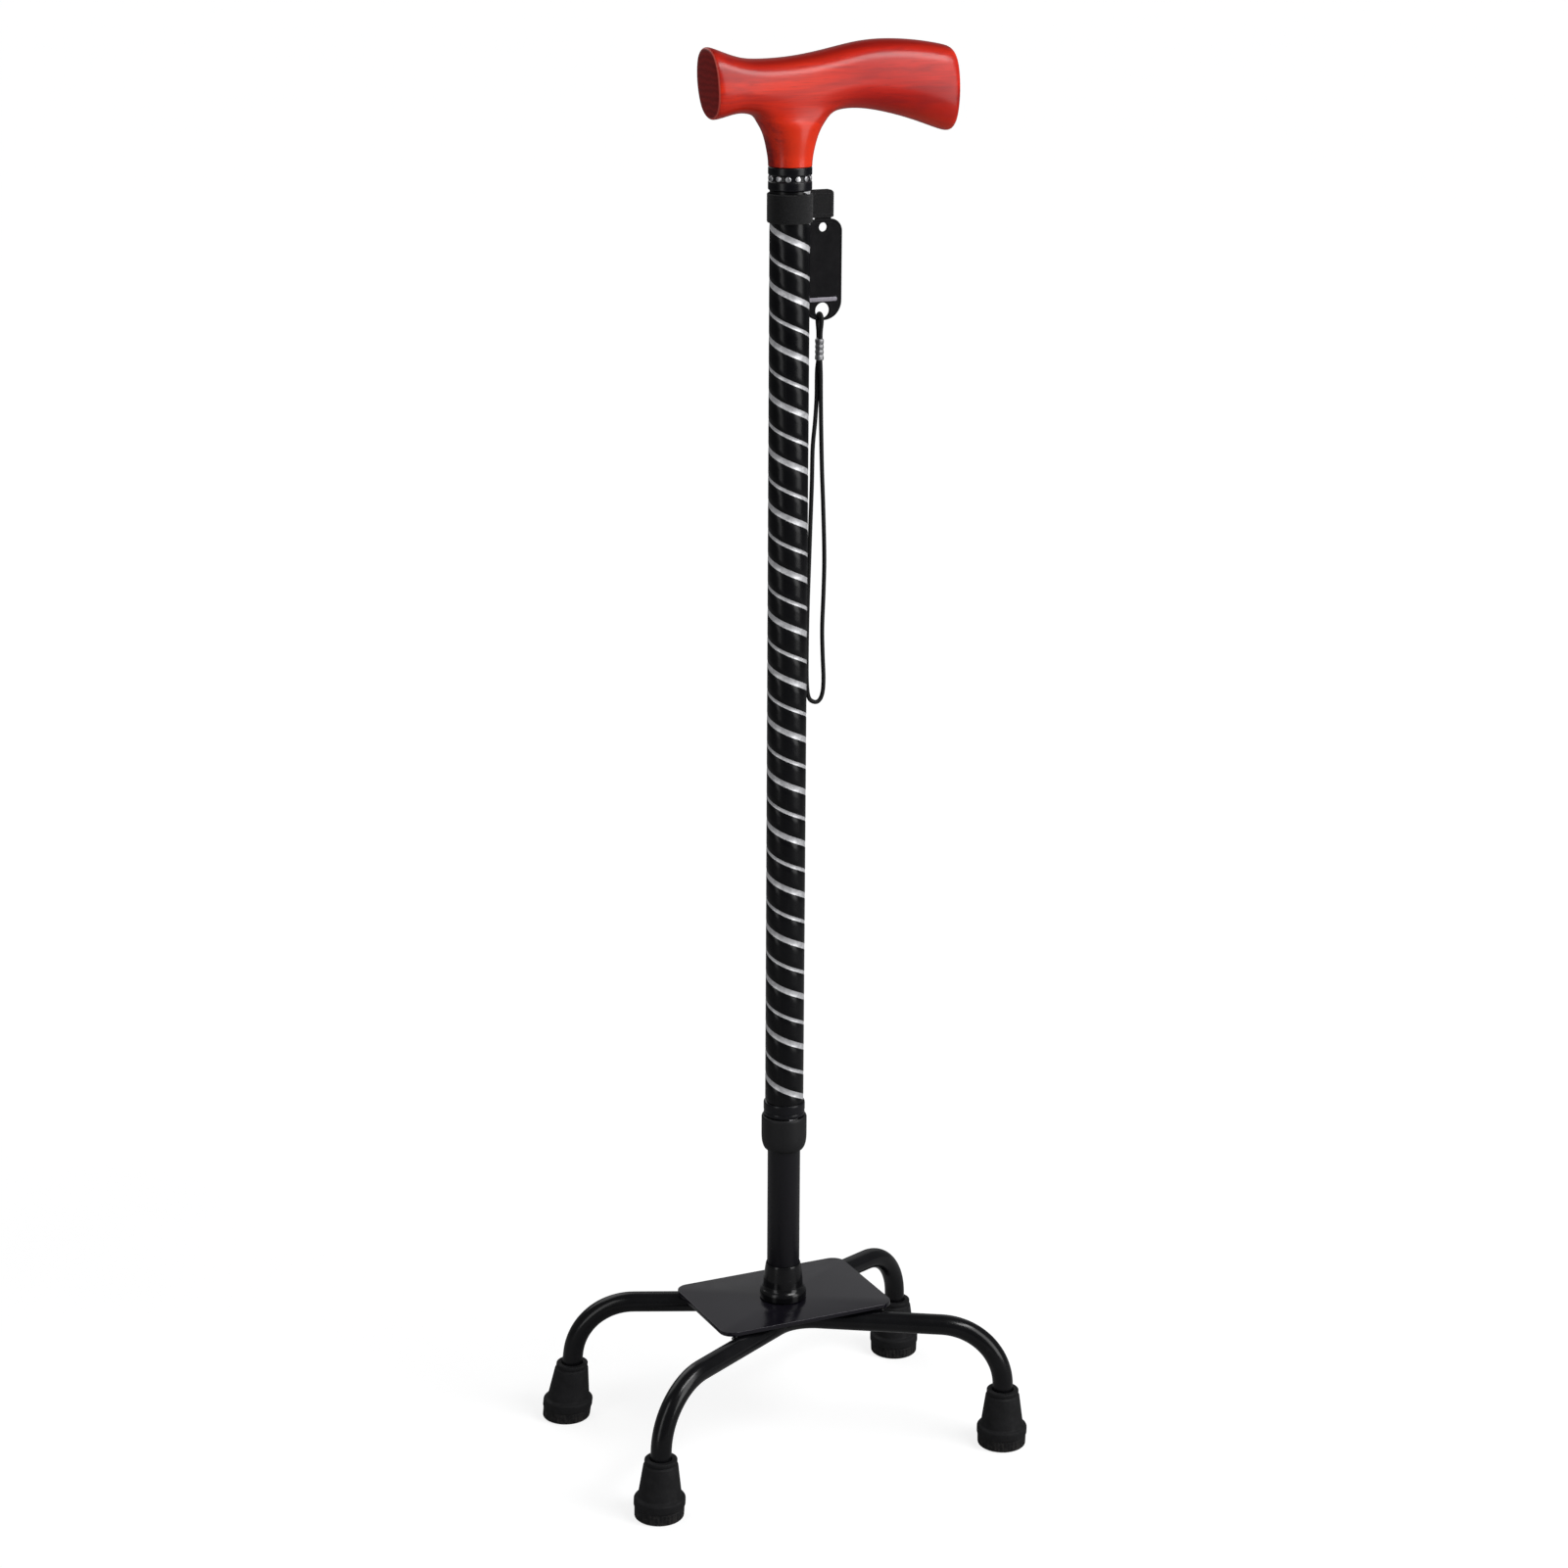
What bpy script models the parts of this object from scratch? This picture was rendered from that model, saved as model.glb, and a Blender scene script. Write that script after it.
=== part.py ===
"""Quad walking cane with an adjustable shaft, a wooden handle and a wrist cord.

Frame: origin on the floor at the centre of the four feet, +Z up the shaft, +X along the handle towards
its long palm end, -Y the front. Metres. The shaft is at rest on the third of its seven height settings.
"""
import math

import bmesh
import bpy
from mathutils import Vector

MM = 0.001
GAP = 0.3 * MM              # kept between pieces that touch

# Base
FOOT_X, FOOT_Y = 110.3 * MM, 70.6 * MM
FOOT_R, FOOT_H = 14.75 * MM, 35.2 * MM
LEG_R, LEG_WALL = 6.0 * MM, 1.2 * MM
LEG_VERTEX_Y = 12.5 * MM    # half the spacing of the two bent tubes where they pass the shaft
# Each leg's lean from upright, the height of the tube's middle over its bend and the radius of the bend;
# keys are the sides of the foot along X and Y
LEG_SHAPE = {
    (-1, -1): (math.radians(3.0), 75.8 * MM, 38.0 * MM),
    (-1, 1): (math.radians(6.5), 75.2 * MM, 38.0 * MM),
    (1, -1): (0.0, 75.2 * MM, 38.0 * MM),
    (1, 1): (0.0, 72.0 * MM, 33.0 * MM),
}
PLATE_X, PLATE_Y = 109.3 * MM, 74.6 * MM
PLATE_CENTRE = (1.15 * MM, 1.5 * MM)
PLATE_T, PLATE_TOP = 2.5 * MM, 86.2 * MM
PLATE_CORNER_R = 8.0 * MM
LEG_RUN_Z = PLATE_TOP - PLATE_T - GAP - LEG_R
LEG_END_Z = 12.8 * MM

# Shaft
LOWER_R, LOWER_BORE = 9.5 * MM, 8.3 * MM
UPPER_R, UPPER_BORE = 11.1 * MM, 9.9 * MM
LOWER_TOP = 400.0 * MM
UPPER_BOTTOM, UPPER_TOP = 191.8 * MM, 734.6 * MM
RING_R = 12.0 * MM          # ferrule, bead ring and the handle's neck
SLEEVE_R = UPPER_R + GAP    # bore of every piece worn on the upper tube
PITCH = 25.4 * MM           # between height holes
HOLES_BELOW, HOLES_ABOVE = 4, 2
HOLE_R, BUTTON_R = 4.2 * MM, 3.8 * MM
BUTTON_Z = 335.0 * MM

# Collar
COLLAR_BOTTOM, COLLAR_TOP = 180.0 * MM, 201.0 * MM
COLLAR_R = 13.15 * MM
BEAD_TOP = 209.6 * MM

# Handle
NECK_BOTTOM = 747.8 * MM
STUD_R = 4.0 * MM

# Wrist strap
BAND_BOTTOM, BAND_TOP = 717.4 * MM, 733.2 * MM
BAND_R = 12.6 * MM
TAB_Y, TAB_T, TAB_END_X = 9.8 * MM, 3.6 * MM, 31.0 * MM
TAG_X, TAG_W, TAG_T = 24.6 * MM, 23.4 * MM, 1.6 * MM
TAG_BOTTOM, TAG_TOP = 661.2 * MM, 716.8 * MM
TAG_HOLE_Z, TAG_HOLE_R = 666.7 * MM, 4.3 * MM
CORD_X = 23.2 * MM          # the strands hang a little inside the middle of the tag
CORD_R = 1.2 * MM
CRIMP_BOTTOM, CRIMP_TOP = 639.2 * MM, 651.0 * MM

TUBE_SIDES = 28
ROUND_SIDES = 20
LEG_SIDES = 12

MATERIALS = {               # colour, roughness, metallic
    "rubber": ((0.014, 0.014, 0.016), 0.75, 0.0),
    "black_paint": ((0.010, 0.010, 0.012), 0.30, 0.0),
    "plate_paint": ((0.045, 0.044, 0.050), 0.42, 0.0),
    "shaft_lacquer": ((0.008, 0.008, 0.009), 0.22, 0.0),
    "collar_plastic": ((0.012, 0.012, 0.013), 0.55, 0.0),
    "ferrule_metal": ((0.010, 0.010, 0.012), 0.25, 0.6),
    "handle_wood": ((0.46, 0.030, 0.012), 0.28, 0.0),
    "steel": ((0.55, 0.55, 0.57), 0.35, 1.0),
    "aluminium": ((0.70, 0.70, 0.72), 0.40, 1.0),
    "nylon": ((0.60, 0.60, 0.58), 0.50, 0.0),
    "webbing": ((0.012, 0.012, 0.014), 0.85, 0.0),
    "tag_leather": ((0.010, 0.010, 0.014), 0.45, 0.0),
    "cord_nylon": ((0.012, 0.012, 0.013), 0.70, 0.0),
    "crimp_metal": ((0.14, 0.14, 0.15), 0.45, 0.8),
}


# Helpers

def clear_scene():
    for item in list(bpy.data.objects):
        bpy.data.objects.remove(item, do_unlink=True)


def material(name):
    found = bpy.data.materials.get(name)
    if found:
        return found
    made = bpy.data.materials.new(name)
    made.use_nodes = True
    shader = made.node_tree.nodes["Principled BSDF"]
    colour, roughness, metallic = MATERIALS[name]
    shader.inputs["Base Color"].default_value = (*colour, 1.0)
    shader.inputs["Roughness"].default_value = roughness
    shader.inputs["Metallic"].default_value = metallic
    made.diffuse_color = (*colour, 1.0)
    return made


def add_object(name, data, slot, location=(0, 0, 0), rotation=(0, 0, 0)):
    made = bpy.data.objects.new(name, data)
    made.location = location
    made.rotation_euler = rotation
    bpy.context.collection.objects.link(made)
    data.materials.append(material(slot))
    return made


def mesh_from(bm, name):
    bmesh.ops.recalc_face_normals(bm, faces=bm.faces)
    mesh = bpy.data.meshes.new(name)
    bm.to_mesh(mesh)
    bm.free()
    mesh.shade_smooth()
    mesh.set_sharp_from_angle(angle=math.radians(35))
    return mesh


def ring_mesh(name, rings, closed):
    """Skin equal rings of points in order; closed joins the last to the first, else both are capped."""
    bm = bmesh.new()
    loops = [[bm.verts.new(p) for p in ring] for ring in rings]
    pairs = list(zip(loops, loops[1:] + loops[:1]))
    if not closed:
        pairs.pop()
        bm.faces.new(loops[0])
        bm.faces.new(loops[-1])
    count = len(loops[0])
    for low, high in pairs:
        for i in range(count):
            j = (i + 1) % count
            bm.faces.new((low[i], low[j], high[j], high[i]))
    return mesh_from(bm, name)


def circle(radius, z, sides, lean=(0, 0)):
    """lean shifts the circle by so much along X and Y for each unit of its height."""
    x, y = lean[0] * z, lean[1] * z
    steps = [math.tau * i / sides for i in range(sides)]
    return [(x + radius * math.cos(a), y + radius * math.sin(a), z) for a in steps]


def turned(name, profile, slot, sides=ROUND_SIDES, solid=False, lean=(0, 0), **place):
    """A profile of (radius, height) turned about Z: a closed ring section, or a solid from end to end."""
    rings = [circle(r, z, sides, lean) for r, z in profile]
    return add_object(name, ring_mesh(name, rings, not solid), slot, **place)


def sleeve(name, outer, bore, low, high, slot, sides=TUBE_SIDES):
    return turned(name, [(outer, low), (outer, high), (bore, high), (bore, low)], slot, sides)


def extruded(name, outline, low, high, slot, to_point, hole=None):
    """An outline carried from low to high, with an optional hole of as many points."""
    loops = [(outline, low), (outline, high)]
    if hole:
        loops += [(hole, high), (hole, low)]
    rings = [[to_point(a, b, level) for a, b in loop] for loop, level in loops]
    return add_object(name, ring_mesh(name, rings, bool(hole)), slot)


def flat_point(a, b, level):
    return (a, b, level)


def upright_point(a, b, level):
    return (a, level, b)


def rounded_rectangle(width, depth, radii, steps, centre=(0, 0)):
    """Points anticlockwise, from the +X, +Y corner; radii go in that order."""
    points = []
    for corner, radius in enumerate(radii):
        sx = (1, -1, -1, 1)[corner]
        sy = (1, 1, -1, -1)[corner]
        cx = centre[0] + sx * (width / 2 - radius)
        cy = centre[1] + sy * (depth / 2 - radius)
        for i in range(steps + 1):
            a = math.pi / 2 * (corner + i / steps)
            points.append((cx + radius * math.cos(a), cy + radius * math.sin(a)))
    return points


def hexagon(across_flats, count):
    turn = [math.tau * i / count for i in range(count)]
    reach = [across_flats / 2 / math.cos(a % (math.pi / 3) - math.pi / 6) for a in turn]
    return [(r * math.cos(a), r * math.sin(a)) for a, r in zip(turn, reach)]


def pipe(name, path, outer, bore, slot, sides=LEG_SIDES):
    """An open-ended tube along a path."""
    points = [Vector(p) for p in path]
    tangents = []
    for i in range(len(points)):
        ahead = points[min(i + 1, len(points) - 1)]
        behind = points[max(i - 1, 0)]
        tangents.append((ahead - behind).normalized())
    normal = tangents[0].orthogonal().normalized()
    frames = []
    for i, tangent in enumerate(tangents):
        if i:
            normal = tangents[i - 1].rotation_difference(tangent) @ normal
        frames.append((points[i], normal.copy(), tangent.cross(normal)))

    def skin(radius):
        rings = []
        for centre, across, up in frames:
            turn = [math.tau * k / sides for k in range(sides)]
            rings.append([centre + radius * (across * math.cos(a) + up * math.sin(a)) for a in turn])
        return rings
    rings = skin(outer) + skin(bore)[::-1]
    return add_object(name, ring_mesh(name, rings, True), slot)


def cut(target, cutter):
    """Subtract the cutter, which stays in the scene as a wire guide."""
    cutter.hide_render = True
    cutter.display_type = "WIRE"
    modifier = target.modifiers.new("cut_" + cutter.name, "BOOLEAN")
    modifier.operation = "DIFFERENCE"
    modifier.solver = "EXACT"
    modifier.object = cutter


def smooth_curve(route, spacing):
    """Points at an even spacing along a Catmull-Rom curve through the route."""
    knots = [Vector(p) for p in route]
    knots = [2 * knots[0] - knots[1]] + knots + [2 * knots[-1] - knots[-2]]
    fine = []
    steps = 24
    for a, b, c, d in zip(knots, knots[1:], knots[2:], knots[3:]):
        for i in range(steps):
            t = i / steps
            fine.append(0.5 * (2 * b + (c - a) * t + (2 * a - 5 * b + 4 * c - d) * t * t
                               + (3 * b - a - 3 * c + d) * t ** 3))
    fine.append(knots[-2])
    lengths = [0.0]
    for p, q in zip(fine, fine[1:]):
        lengths.append(lengths[-1] + (q - p).length)
    count = max(2, round(lengths[-1] / spacing))
    result = []
    k = 0
    for i in range(count + 1):
        target = lengths[-1] * i / count
        while k < len(fine) - 2 and lengths[k + 1] < target:
            k += 1
        share = (target - lengths[k]) / (lengths[k + 1] - lengths[k])
        result.append(fine[k].lerp(fine[k + 1], share))
    return result


def cord(name, route, radius, spacing, slot):
    curve = bpy.data.curves.new(name, "CURVE")
    curve.dimensions = "3D"
    curve.bevel_depth = radius
    curve.bevel_resolution = 2
    curve.use_fill_caps = True
    points = smooth_curve(route, spacing)
    spline = curve.splines.new("POLY")
    spline.points.add(len(points) - 1)
    for target, point in zip(spline.points, points):
        target.co = (*point, 1.0)
    return add_object(name, curve, slot)


# Base

def leg_run(side_x, side_y):
    """A foot's centre on the floor, and the level direction and distance from it to the tube's middle."""
    foot = Vector((side_x * FOOT_X, side_y * FOOT_Y, 0))
    run = Vector((0, side_y * LEG_VERTEX_Y, 0)) - foot
    return foot, run.normalized(), run.length


def leg_half(side_x, side_y):
    """Centreline of a bent tube from one foot, over its bend, to the shallow bend by the shaft."""
    foot, run, length = leg_run(side_x, side_y)
    lean, bend_z, bend_r = LEG_SHAPE[side_x, side_y]
    centre_z = bend_z - bend_r
    start_z = centre_z + bend_r * math.sin(lean)
    centre_along = start_z * math.tan(lean) + bend_r * math.cos(lean)
    soft = 14 * MM          # the shallow bend at the middle starts this far from it
    rise = math.atan2(LEG_RUN_Z - bend_z, length - soft - centre_along)
    half = [foot + run * LEG_END_Z * math.tan(lean) + Vector((0, 0, LEG_END_Z))]
    bend_steps = 7
    for i in range(bend_steps + 1):
        a = lean + (math.pi / 2 - rise - lean) * i / bend_steps
        along = centre_along - bend_r * math.cos(a)
        half.append(foot + run * along + Vector((0, 0, centre_z + bend_r * math.sin(a))))
    half.append(foot + run * (length - soft) + Vector((0, 0, LEG_RUN_Z)))
    return half


def leg_path(side_y):
    """Centreline of one bent tube, from the right foot past the shaft to the left foot."""
    right, left = leg_half(1, side_y), leg_half(-1, side_y)
    middle = Vector((0, (right[-1].y + side_y * LEG_VERTEX_Y) / 2, LEG_RUN_Z))
    return right + [middle] + left[::-1]


def foot_profile():
    """Section of a rubber ferrule: ringed foot, cone, lip at the mouth and a blind socket."""
    bore = LEG_R + GAP
    return [
        (12.9 * MM, 0), (14.1 * MM, 0.9 * MM), (14.2 * MM, 3.2 * MM), (FOOT_R, 3.8 * MM),
        (FOOT_R, 11.7 * MM), (14.2 * MM, 12.5 * MM), (12.4 * MM, 13.3 * MM),
        (9.9 * MM, 31.9 * MM), (9.0 * MM, 32.6 * MM), (9.35 * MM, 33.3 * MM), (9.3 * MM, FOOT_H - 0.5 * MM),
        (8.8 * MM, FOOT_H), (bore, FOOT_H), (bore, 9.8 * MM),
    ]


def build_feet():
    washer_r, washer_bore = 5.9 * MM, 2.0 * MM
    low, high = 10.2 * MM, 11.8 * MM
    washer = [(washer_r, low), (washer_r, high), (washer_bore, high), (washer_bore, low)]
    for side, sx in (("left", -1), ("right", 1)):
        for end, sy in (("front", -1), ("back", 1)):
            foot, run, _ = leg_run(sx, sy)
            tilt = run * math.tan(LEG_SHAPE[sx, sy][0])
            place = {"location": foot, "lean": (tilt.x, tilt.y)}
            name = side + "_" + end
            turned("rubber_foot_" + name, foot_profile(), "rubber", ROUND_SIDES, solid=True, **place)
            turned("foot_washer_" + name, washer, "steel", 16, **place)


def build_base():
    for name, side in (("front_leg_tube", -1), ("back_leg_tube", 1)):
        pipe(name, leg_path(side), LEG_R, LEG_R - LEG_WALL, "black_paint")
    steps = 7
    outline = rounded_rectangle(PLATE_X, PLATE_Y, [PLATE_CORNER_R] * 4, steps, PLATE_CENTRE)
    bolt_hole = 2.9 * MM
    turn = [math.tau * (k + 0.5) / len(outline) for k in range(len(outline))]
    hole = [(bolt_hole * math.cos(a), bolt_hole * math.sin(a)) for a in turn]
    extruded("base_plate", outline, PLATE_TOP - PLATE_T, PLATE_TOP, "plate_paint", flat_point, hole)

    floor = PLATE_TOP + GAP
    bore = LOWER_R + 0.4 * MM
    turned("tube_socket", [
        (13.4 * MM, floor), (13.7 * MM, floor + 0.6 * MM), (13.7 * MM, floor + 3.8 * MM),
        (13.2 * MM, floor + 5.2 * MM), (12.2 * MM, floor + 6.2 * MM), (11.7 * MM, floor + 8.0 * MM),
        (11.5 * MM, floor + 13.0 * MM), (10.9 * MM, floor + 19.0 * MM), (10.4 * MM, floor + 24.6 * MM),
        (10.2 * MM, floor + 25.2 * MM), (bore, floor + 25.2 * MM), (bore, floor),
    ], "black_paint", TUBE_SIDES)

    plug_top = 112.0 * MM
    sleeve("lower_plug", 8.0 * MM, 2.8 * MM, floor, plug_top, "aluminium", ROUND_SIDES)
    underside = PLATE_TOP - PLATE_T
    sleeve("bolt_washer", 6.0 * MM, 2.8 * MM, underside - 1.3 * MM, underside - GAP, "steel", ROUND_SIDES)
    head_top = underside - 1.3 * MM - GAP
    turned("base_bolt", [
        (3.6 * MM, head_top - 3.2 * MM), (4.7 * MM, head_top - 2.4 * MM), (5.0 * MM, head_top - 1.2 * MM),
        (5.0 * MM, head_top), (2.5 * MM, head_top), (2.5 * MM, plug_top - 4 * MM),
    ], "steel", 20, solid=True)


# Shaft

def button_cutter(name, heights, reach):
    """Cylinders along +Y, one at each height, through one wall of a tube."""
    bm = bmesh.new()
    for z in heights:
        made = bmesh.ops.create_cone(bm, cap_ends=True, segments=16, depth=reach,
                                     radius1=HOLE_R, radius2=HOLE_R)
        for vertex in made["verts"]:
            x, y, along = vertex.co
            vertex.co = (x, 5 * MM + reach / 2 + along, z - y)
    return add_object(name, mesh_from(bm, name), "steel")


def build_lower_shaft():
    tube = sleeve("lower_tube", LOWER_R, LOWER_BORE, PLATE_TOP + GAP, LOWER_TOP, "shaft_lacquer")
    cut(tube, button_cutter("lower_hole_cutter", [BUTTON_Z], 12 * MM))
    low, step, high = LOWER_TOP - 9 * MM, LOWER_TOP + GAP, LOWER_TOP + 3.2 * MM
    turned("guide_bush", [
        (8.0 * MM, low), (8.0 * MM, step), (9.55 * MM, step), (9.55 * MM, high - 0.6 * MM),
        (9.0 * MM, high), (6.6 * MM, high), (6.6 * MM, low),
    ], "nylon", ROUND_SIDES)
    turned("push_button", [
        (4.6 * MM, 5.4 * MM), (4.6 * MM, 6.4 * MM), (BUTTON_R, 6.4 * MM), (BUTTON_R, 11.9 * MM),
        (3.3 * MM, 12.7 * MM), (2.2 * MM, 13.2 * MM),
    ], "steel", 20, solid=True, location=(0, 0, BUTTON_Z), rotation=(-math.pi / 2, 0, 0))
    build_button_spring()


def build_button_spring():
    """A leaf bent to a V inside the lower tube, between the button and the far wall."""
    bends = [(4.6, 8.0), (4.6, -7.0), (0.2, -37.0), (-1.6, -37.0), (-7.2, -6.0)]
    line = [Vector(point) for point in bends]
    thickness, half_width = 0.5, 3.0 * MM
    sides = ([], [])
    for i, point in enumerate(line):
        along = (line[min(i + 1, len(line) - 1)] - line[max(i - 1, 0)]).normalized()
        across = Vector((-along.y, along.x)) * thickness / 2
        sides[0].append(point + across)
        sides[1].append(point - across)
    outline = [(p.x * MM, BUTTON_Z + p.y * MM) for p in sides[0] + sides[1][::-1]]
    bm = bmesh.new()
    rows = [[bm.verts.new((x, y, z)) for y, z in outline] for x in (-half_width, half_width)]
    count = len(outline)
    last = count - 1
    for i in range(count):
        j = (i + 1) % count
        bm.faces.new((rows[0][i], rows[0][j], rows[1][j], rows[1][i]))
    for row in rows:
        for i in range(len(line) - 1):
            bm.faces.new((row[i], row[i + 1], row[last - i - 1], row[last - i]))
    add_object("button_spring", mesh_from(bm, "button_spring"), "steel")


def build_upper_shaft():
    tube = sleeve("upper_tube", UPPER_R, UPPER_BORE, UPPER_BOTTOM, UPPER_TOP, "shaft_lacquer")
    heights = [BUTTON_Z + PITCH * i for i in range(-HOLES_BELOW, HOLES_ABOVE + 1)]
    cut(tube, button_cutter("upper_hole_cutter", heights, 12 * MM))
    turned("collar_bead_ring", [
        (11.6 * MM, COLLAR_TOP + GAP), (RING_R, COLLAR_TOP + 0.9 * MM), (RING_R, BEAD_TOP - 0.8 * MM),
        (11.7 * MM, BEAD_TOP), (SLEEVE_R, BEAD_TOP), (SLEEVE_R, COLLAR_TOP + GAP),
    ], "ferrule_metal", TUBE_SIDES)
    ring_low = 184.6 * MM
    sleeve("grip_ring", 11.0 * MM, LOWER_R + 0.4 * MM, ring_low, UPPER_BOTTOM - GAP, "nylon")
    turned("lock_collar", [
        (10.3 * MM, COLLAR_BOTTOM), (11.6 * MM, COLLAR_BOTTOM + 1.2 * MM),
        (12.6 * MM, COLLAR_BOTTOM + 3.6 * MM), (COLLAR_R, COLLAR_BOTTOM + 6.6 * MM),
        (COLLAR_R, COLLAR_TOP - 0.6 * MM), (12.6 * MM, COLLAR_TOP),
        (SLEEVE_R, COLLAR_TOP), (SLEEVE_R, ring_low - 0.4 * MM), (LOWER_R + 0.4 * MM, ring_low - 2.0 * MM),
        (LOWER_R + 0.4 * MM, COLLAR_BOTTOM),
    ], "collar_plastic", TUBE_SIDES)


def build_ferrule():
    low, high = UPPER_TOP + GAP, NECK_BOTTOM - GAP
    groove = 741.4 * MM
    spigot_low = 702.0 * MM
    bore = STUD_R + GAP
    turned("handle_ferrule", [
        (9.2 * MM, spigot_low), (9.5 * MM, spigot_low + 1 * MM), (9.5 * MM, low), (11.6 * MM, low),
        (RING_R, low + 0.5 * MM), (RING_R, groove - 1.0 * MM), (11.1 * MM, groove - 0.5 * MM),
        (11.1 * MM, groove + 0.5 * MM), (RING_R, groove + 1.0 * MM), (RING_R, high),
        (bore, high), (bore, spigot_low),
    ], "ferrule_metal", TUBE_SIDES)
    nut_high = spigot_low - GAP
    hole = [(x, y) for x, y, _ in circle(bore, 0, 24)]
    extruded("stud_nut", hexagon(13 * MM, 24), nut_high - 6.5 * MM, nut_high, "steel", flat_point, hole)
    stud = [(3.4 * MM, 690.0 * MM), (STUD_R, 690.8 * MM), (STUD_R, 779.0 * MM), (3.2 * MM, 780.0 * MM)]
    turned("handle_stud", stud, "steel", 16, solid=True)


# Handle

# Sections along the grip, from the short flat end to the long palm end, in millimetres:
# distance along X, top and bottom above the floor, half width, and how far the top leans along X
GRIP_SECTIONS = [
    (-49.2, 810.6, 774.6, 13.6, -1.7),
    (-48.2, 812.8, 773.4, 15.2, -1.5),
    (-41.0, 809.6, 774.8, 14.8, -0.6),
    (-31.0, 805.9, 777.4, 13.8, 0.0),
    (-21.0, 804.8, 775.4, 13.4, 0.0),
    (1.5, 805.6, 772.5, 13.4, 0.0),
    (23.0, 809.5, 776.2, 13.4, 0.0),
    (35.5, 812.3, 777.8, 13.4, 0.0),
    (51.0, 814.2, 776.0, 13.6, 0.0),
    (72.0, 813.2, 770.6, 14.0, 0.0),
    (89.0, 810.4, 764.2, 14.2, 0.0),
    (96.0, 808.6, 762.4, 13.6, 0.0),
    (97.3, 804.5, 766.8, 11.2, 0.0),
]
NECK_FIRST, NECK_LAST = 4, 6    # the neck grows from the grip between these sections
# Levels down the neck, in millimetres: half length, half width, height and shift along X
NECK_LEVELS = [
    (19.8, 13.9, 771.6, 0.3),
    (15.6, 14.2, 766.0, 0.2),
    (13.2, 13.0, 757.5, 0.0),
    (12.1, 12.0, 751.0, 0.0),
    (12.0, 12.0, NECK_BOTTOM / MM, 0.0),
]
ROUND_SHARE = 0.9024            # what eight-sided smoothing leaves of a ring's radius
FULL_SHARE = 0.927              # and of a section drawn with full corners
CORNER = 0.78


def section_ring(section):
    """Eight points round a grip section, from +Y over the top; corners fuller than an ellipse's."""
    x, top, bottom, half_width, lean = (value * MM for value in section)
    middle = (top + bottom) / 2
    height = (top - bottom) / 2 / FULL_SHARE
    width = half_width / FULL_SHARE
    around = [(1, 0), (CORNER, CORNER), (0, 1), (-CORNER, CORNER)]
    around += [(-c, -s) for c, s in around]
    return [(x + lean * s, width * c, middle + height * s) for c, s in around]


def neck_ring(half_length, half_width, z, centre_x):
    """Eight points round the neck, in the order of the opening left for it in the grip."""
    order = [math.radians(a) for a in (225, 180, 135, 90, 45, 0, 315, 270)]
    reach_x, reach_y = half_length / ROUND_SHARE, half_width / ROUND_SHARE
    return [(centre_x + reach_x * math.cos(a), reach_y * math.sin(a), z) for a in order]


def build_handle():
    bm = bmesh.new()
    crease = bm.edges.layers.float.new("crease_edge")
    rings = [[bm.verts.new(p) for p in section_ring(s)] for s in GRIP_SECTIONS]
    bm.faces.new(rings[0])
    bm.faces.new(rings[-1])
    for i, (low, high) in enumerate(zip(rings, rings[1:])):
        for j in range(8):
            under_neck = NECK_FIRST <= i < NECK_LAST and j in (5, 6)
            if not under_neck:
                bm.faces.new((low[j], low[(j + 1) % 8], high[(j + 1) % 8], high[j]))
    first, centre, last = rings[NECK_FIRST:NECK_LAST + 1]
    loop = [first[5], first[6], first[7], centre[7], last[7], last[6], last[5], centre[5]]
    bm.verts.remove(centre[6])
    for level in NECK_LEVELS:
        below = [bm.verts.new(p) for p in neck_ring(*(value * MM for value in level))]
        for i in range(8):
            j = (i + 1) % 8
            bm.faces.new((loop[i], loop[j], below[j], below[i]))
        loop = below
    end = bm.faces.new(loop)
    for edge in end.edges:
        edge[crease] = 1.0
    handle = add_object("handle", mesh_from(bm, "handle"), "handle_wood")
    handle.data.set_sharp_from_angle(angle=math.pi)
    smooth = handle.modifiers.new("smooth", "SUBSURF")
    smooth.levels = 1
    smooth.render_levels = 1
    bore = STUD_R + 0.4 * MM
    top = 785.0 * MM
    rings = [circle(bore, NECK_BOTTOM - 5 * MM, 16), circle(bore, top, 16)]
    cutter = add_object("stud_bore_cutter", ring_mesh("stud_bore_cutter", rings, False), "steel")
    cut(handle, cutter)


# Wrist strap

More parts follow.
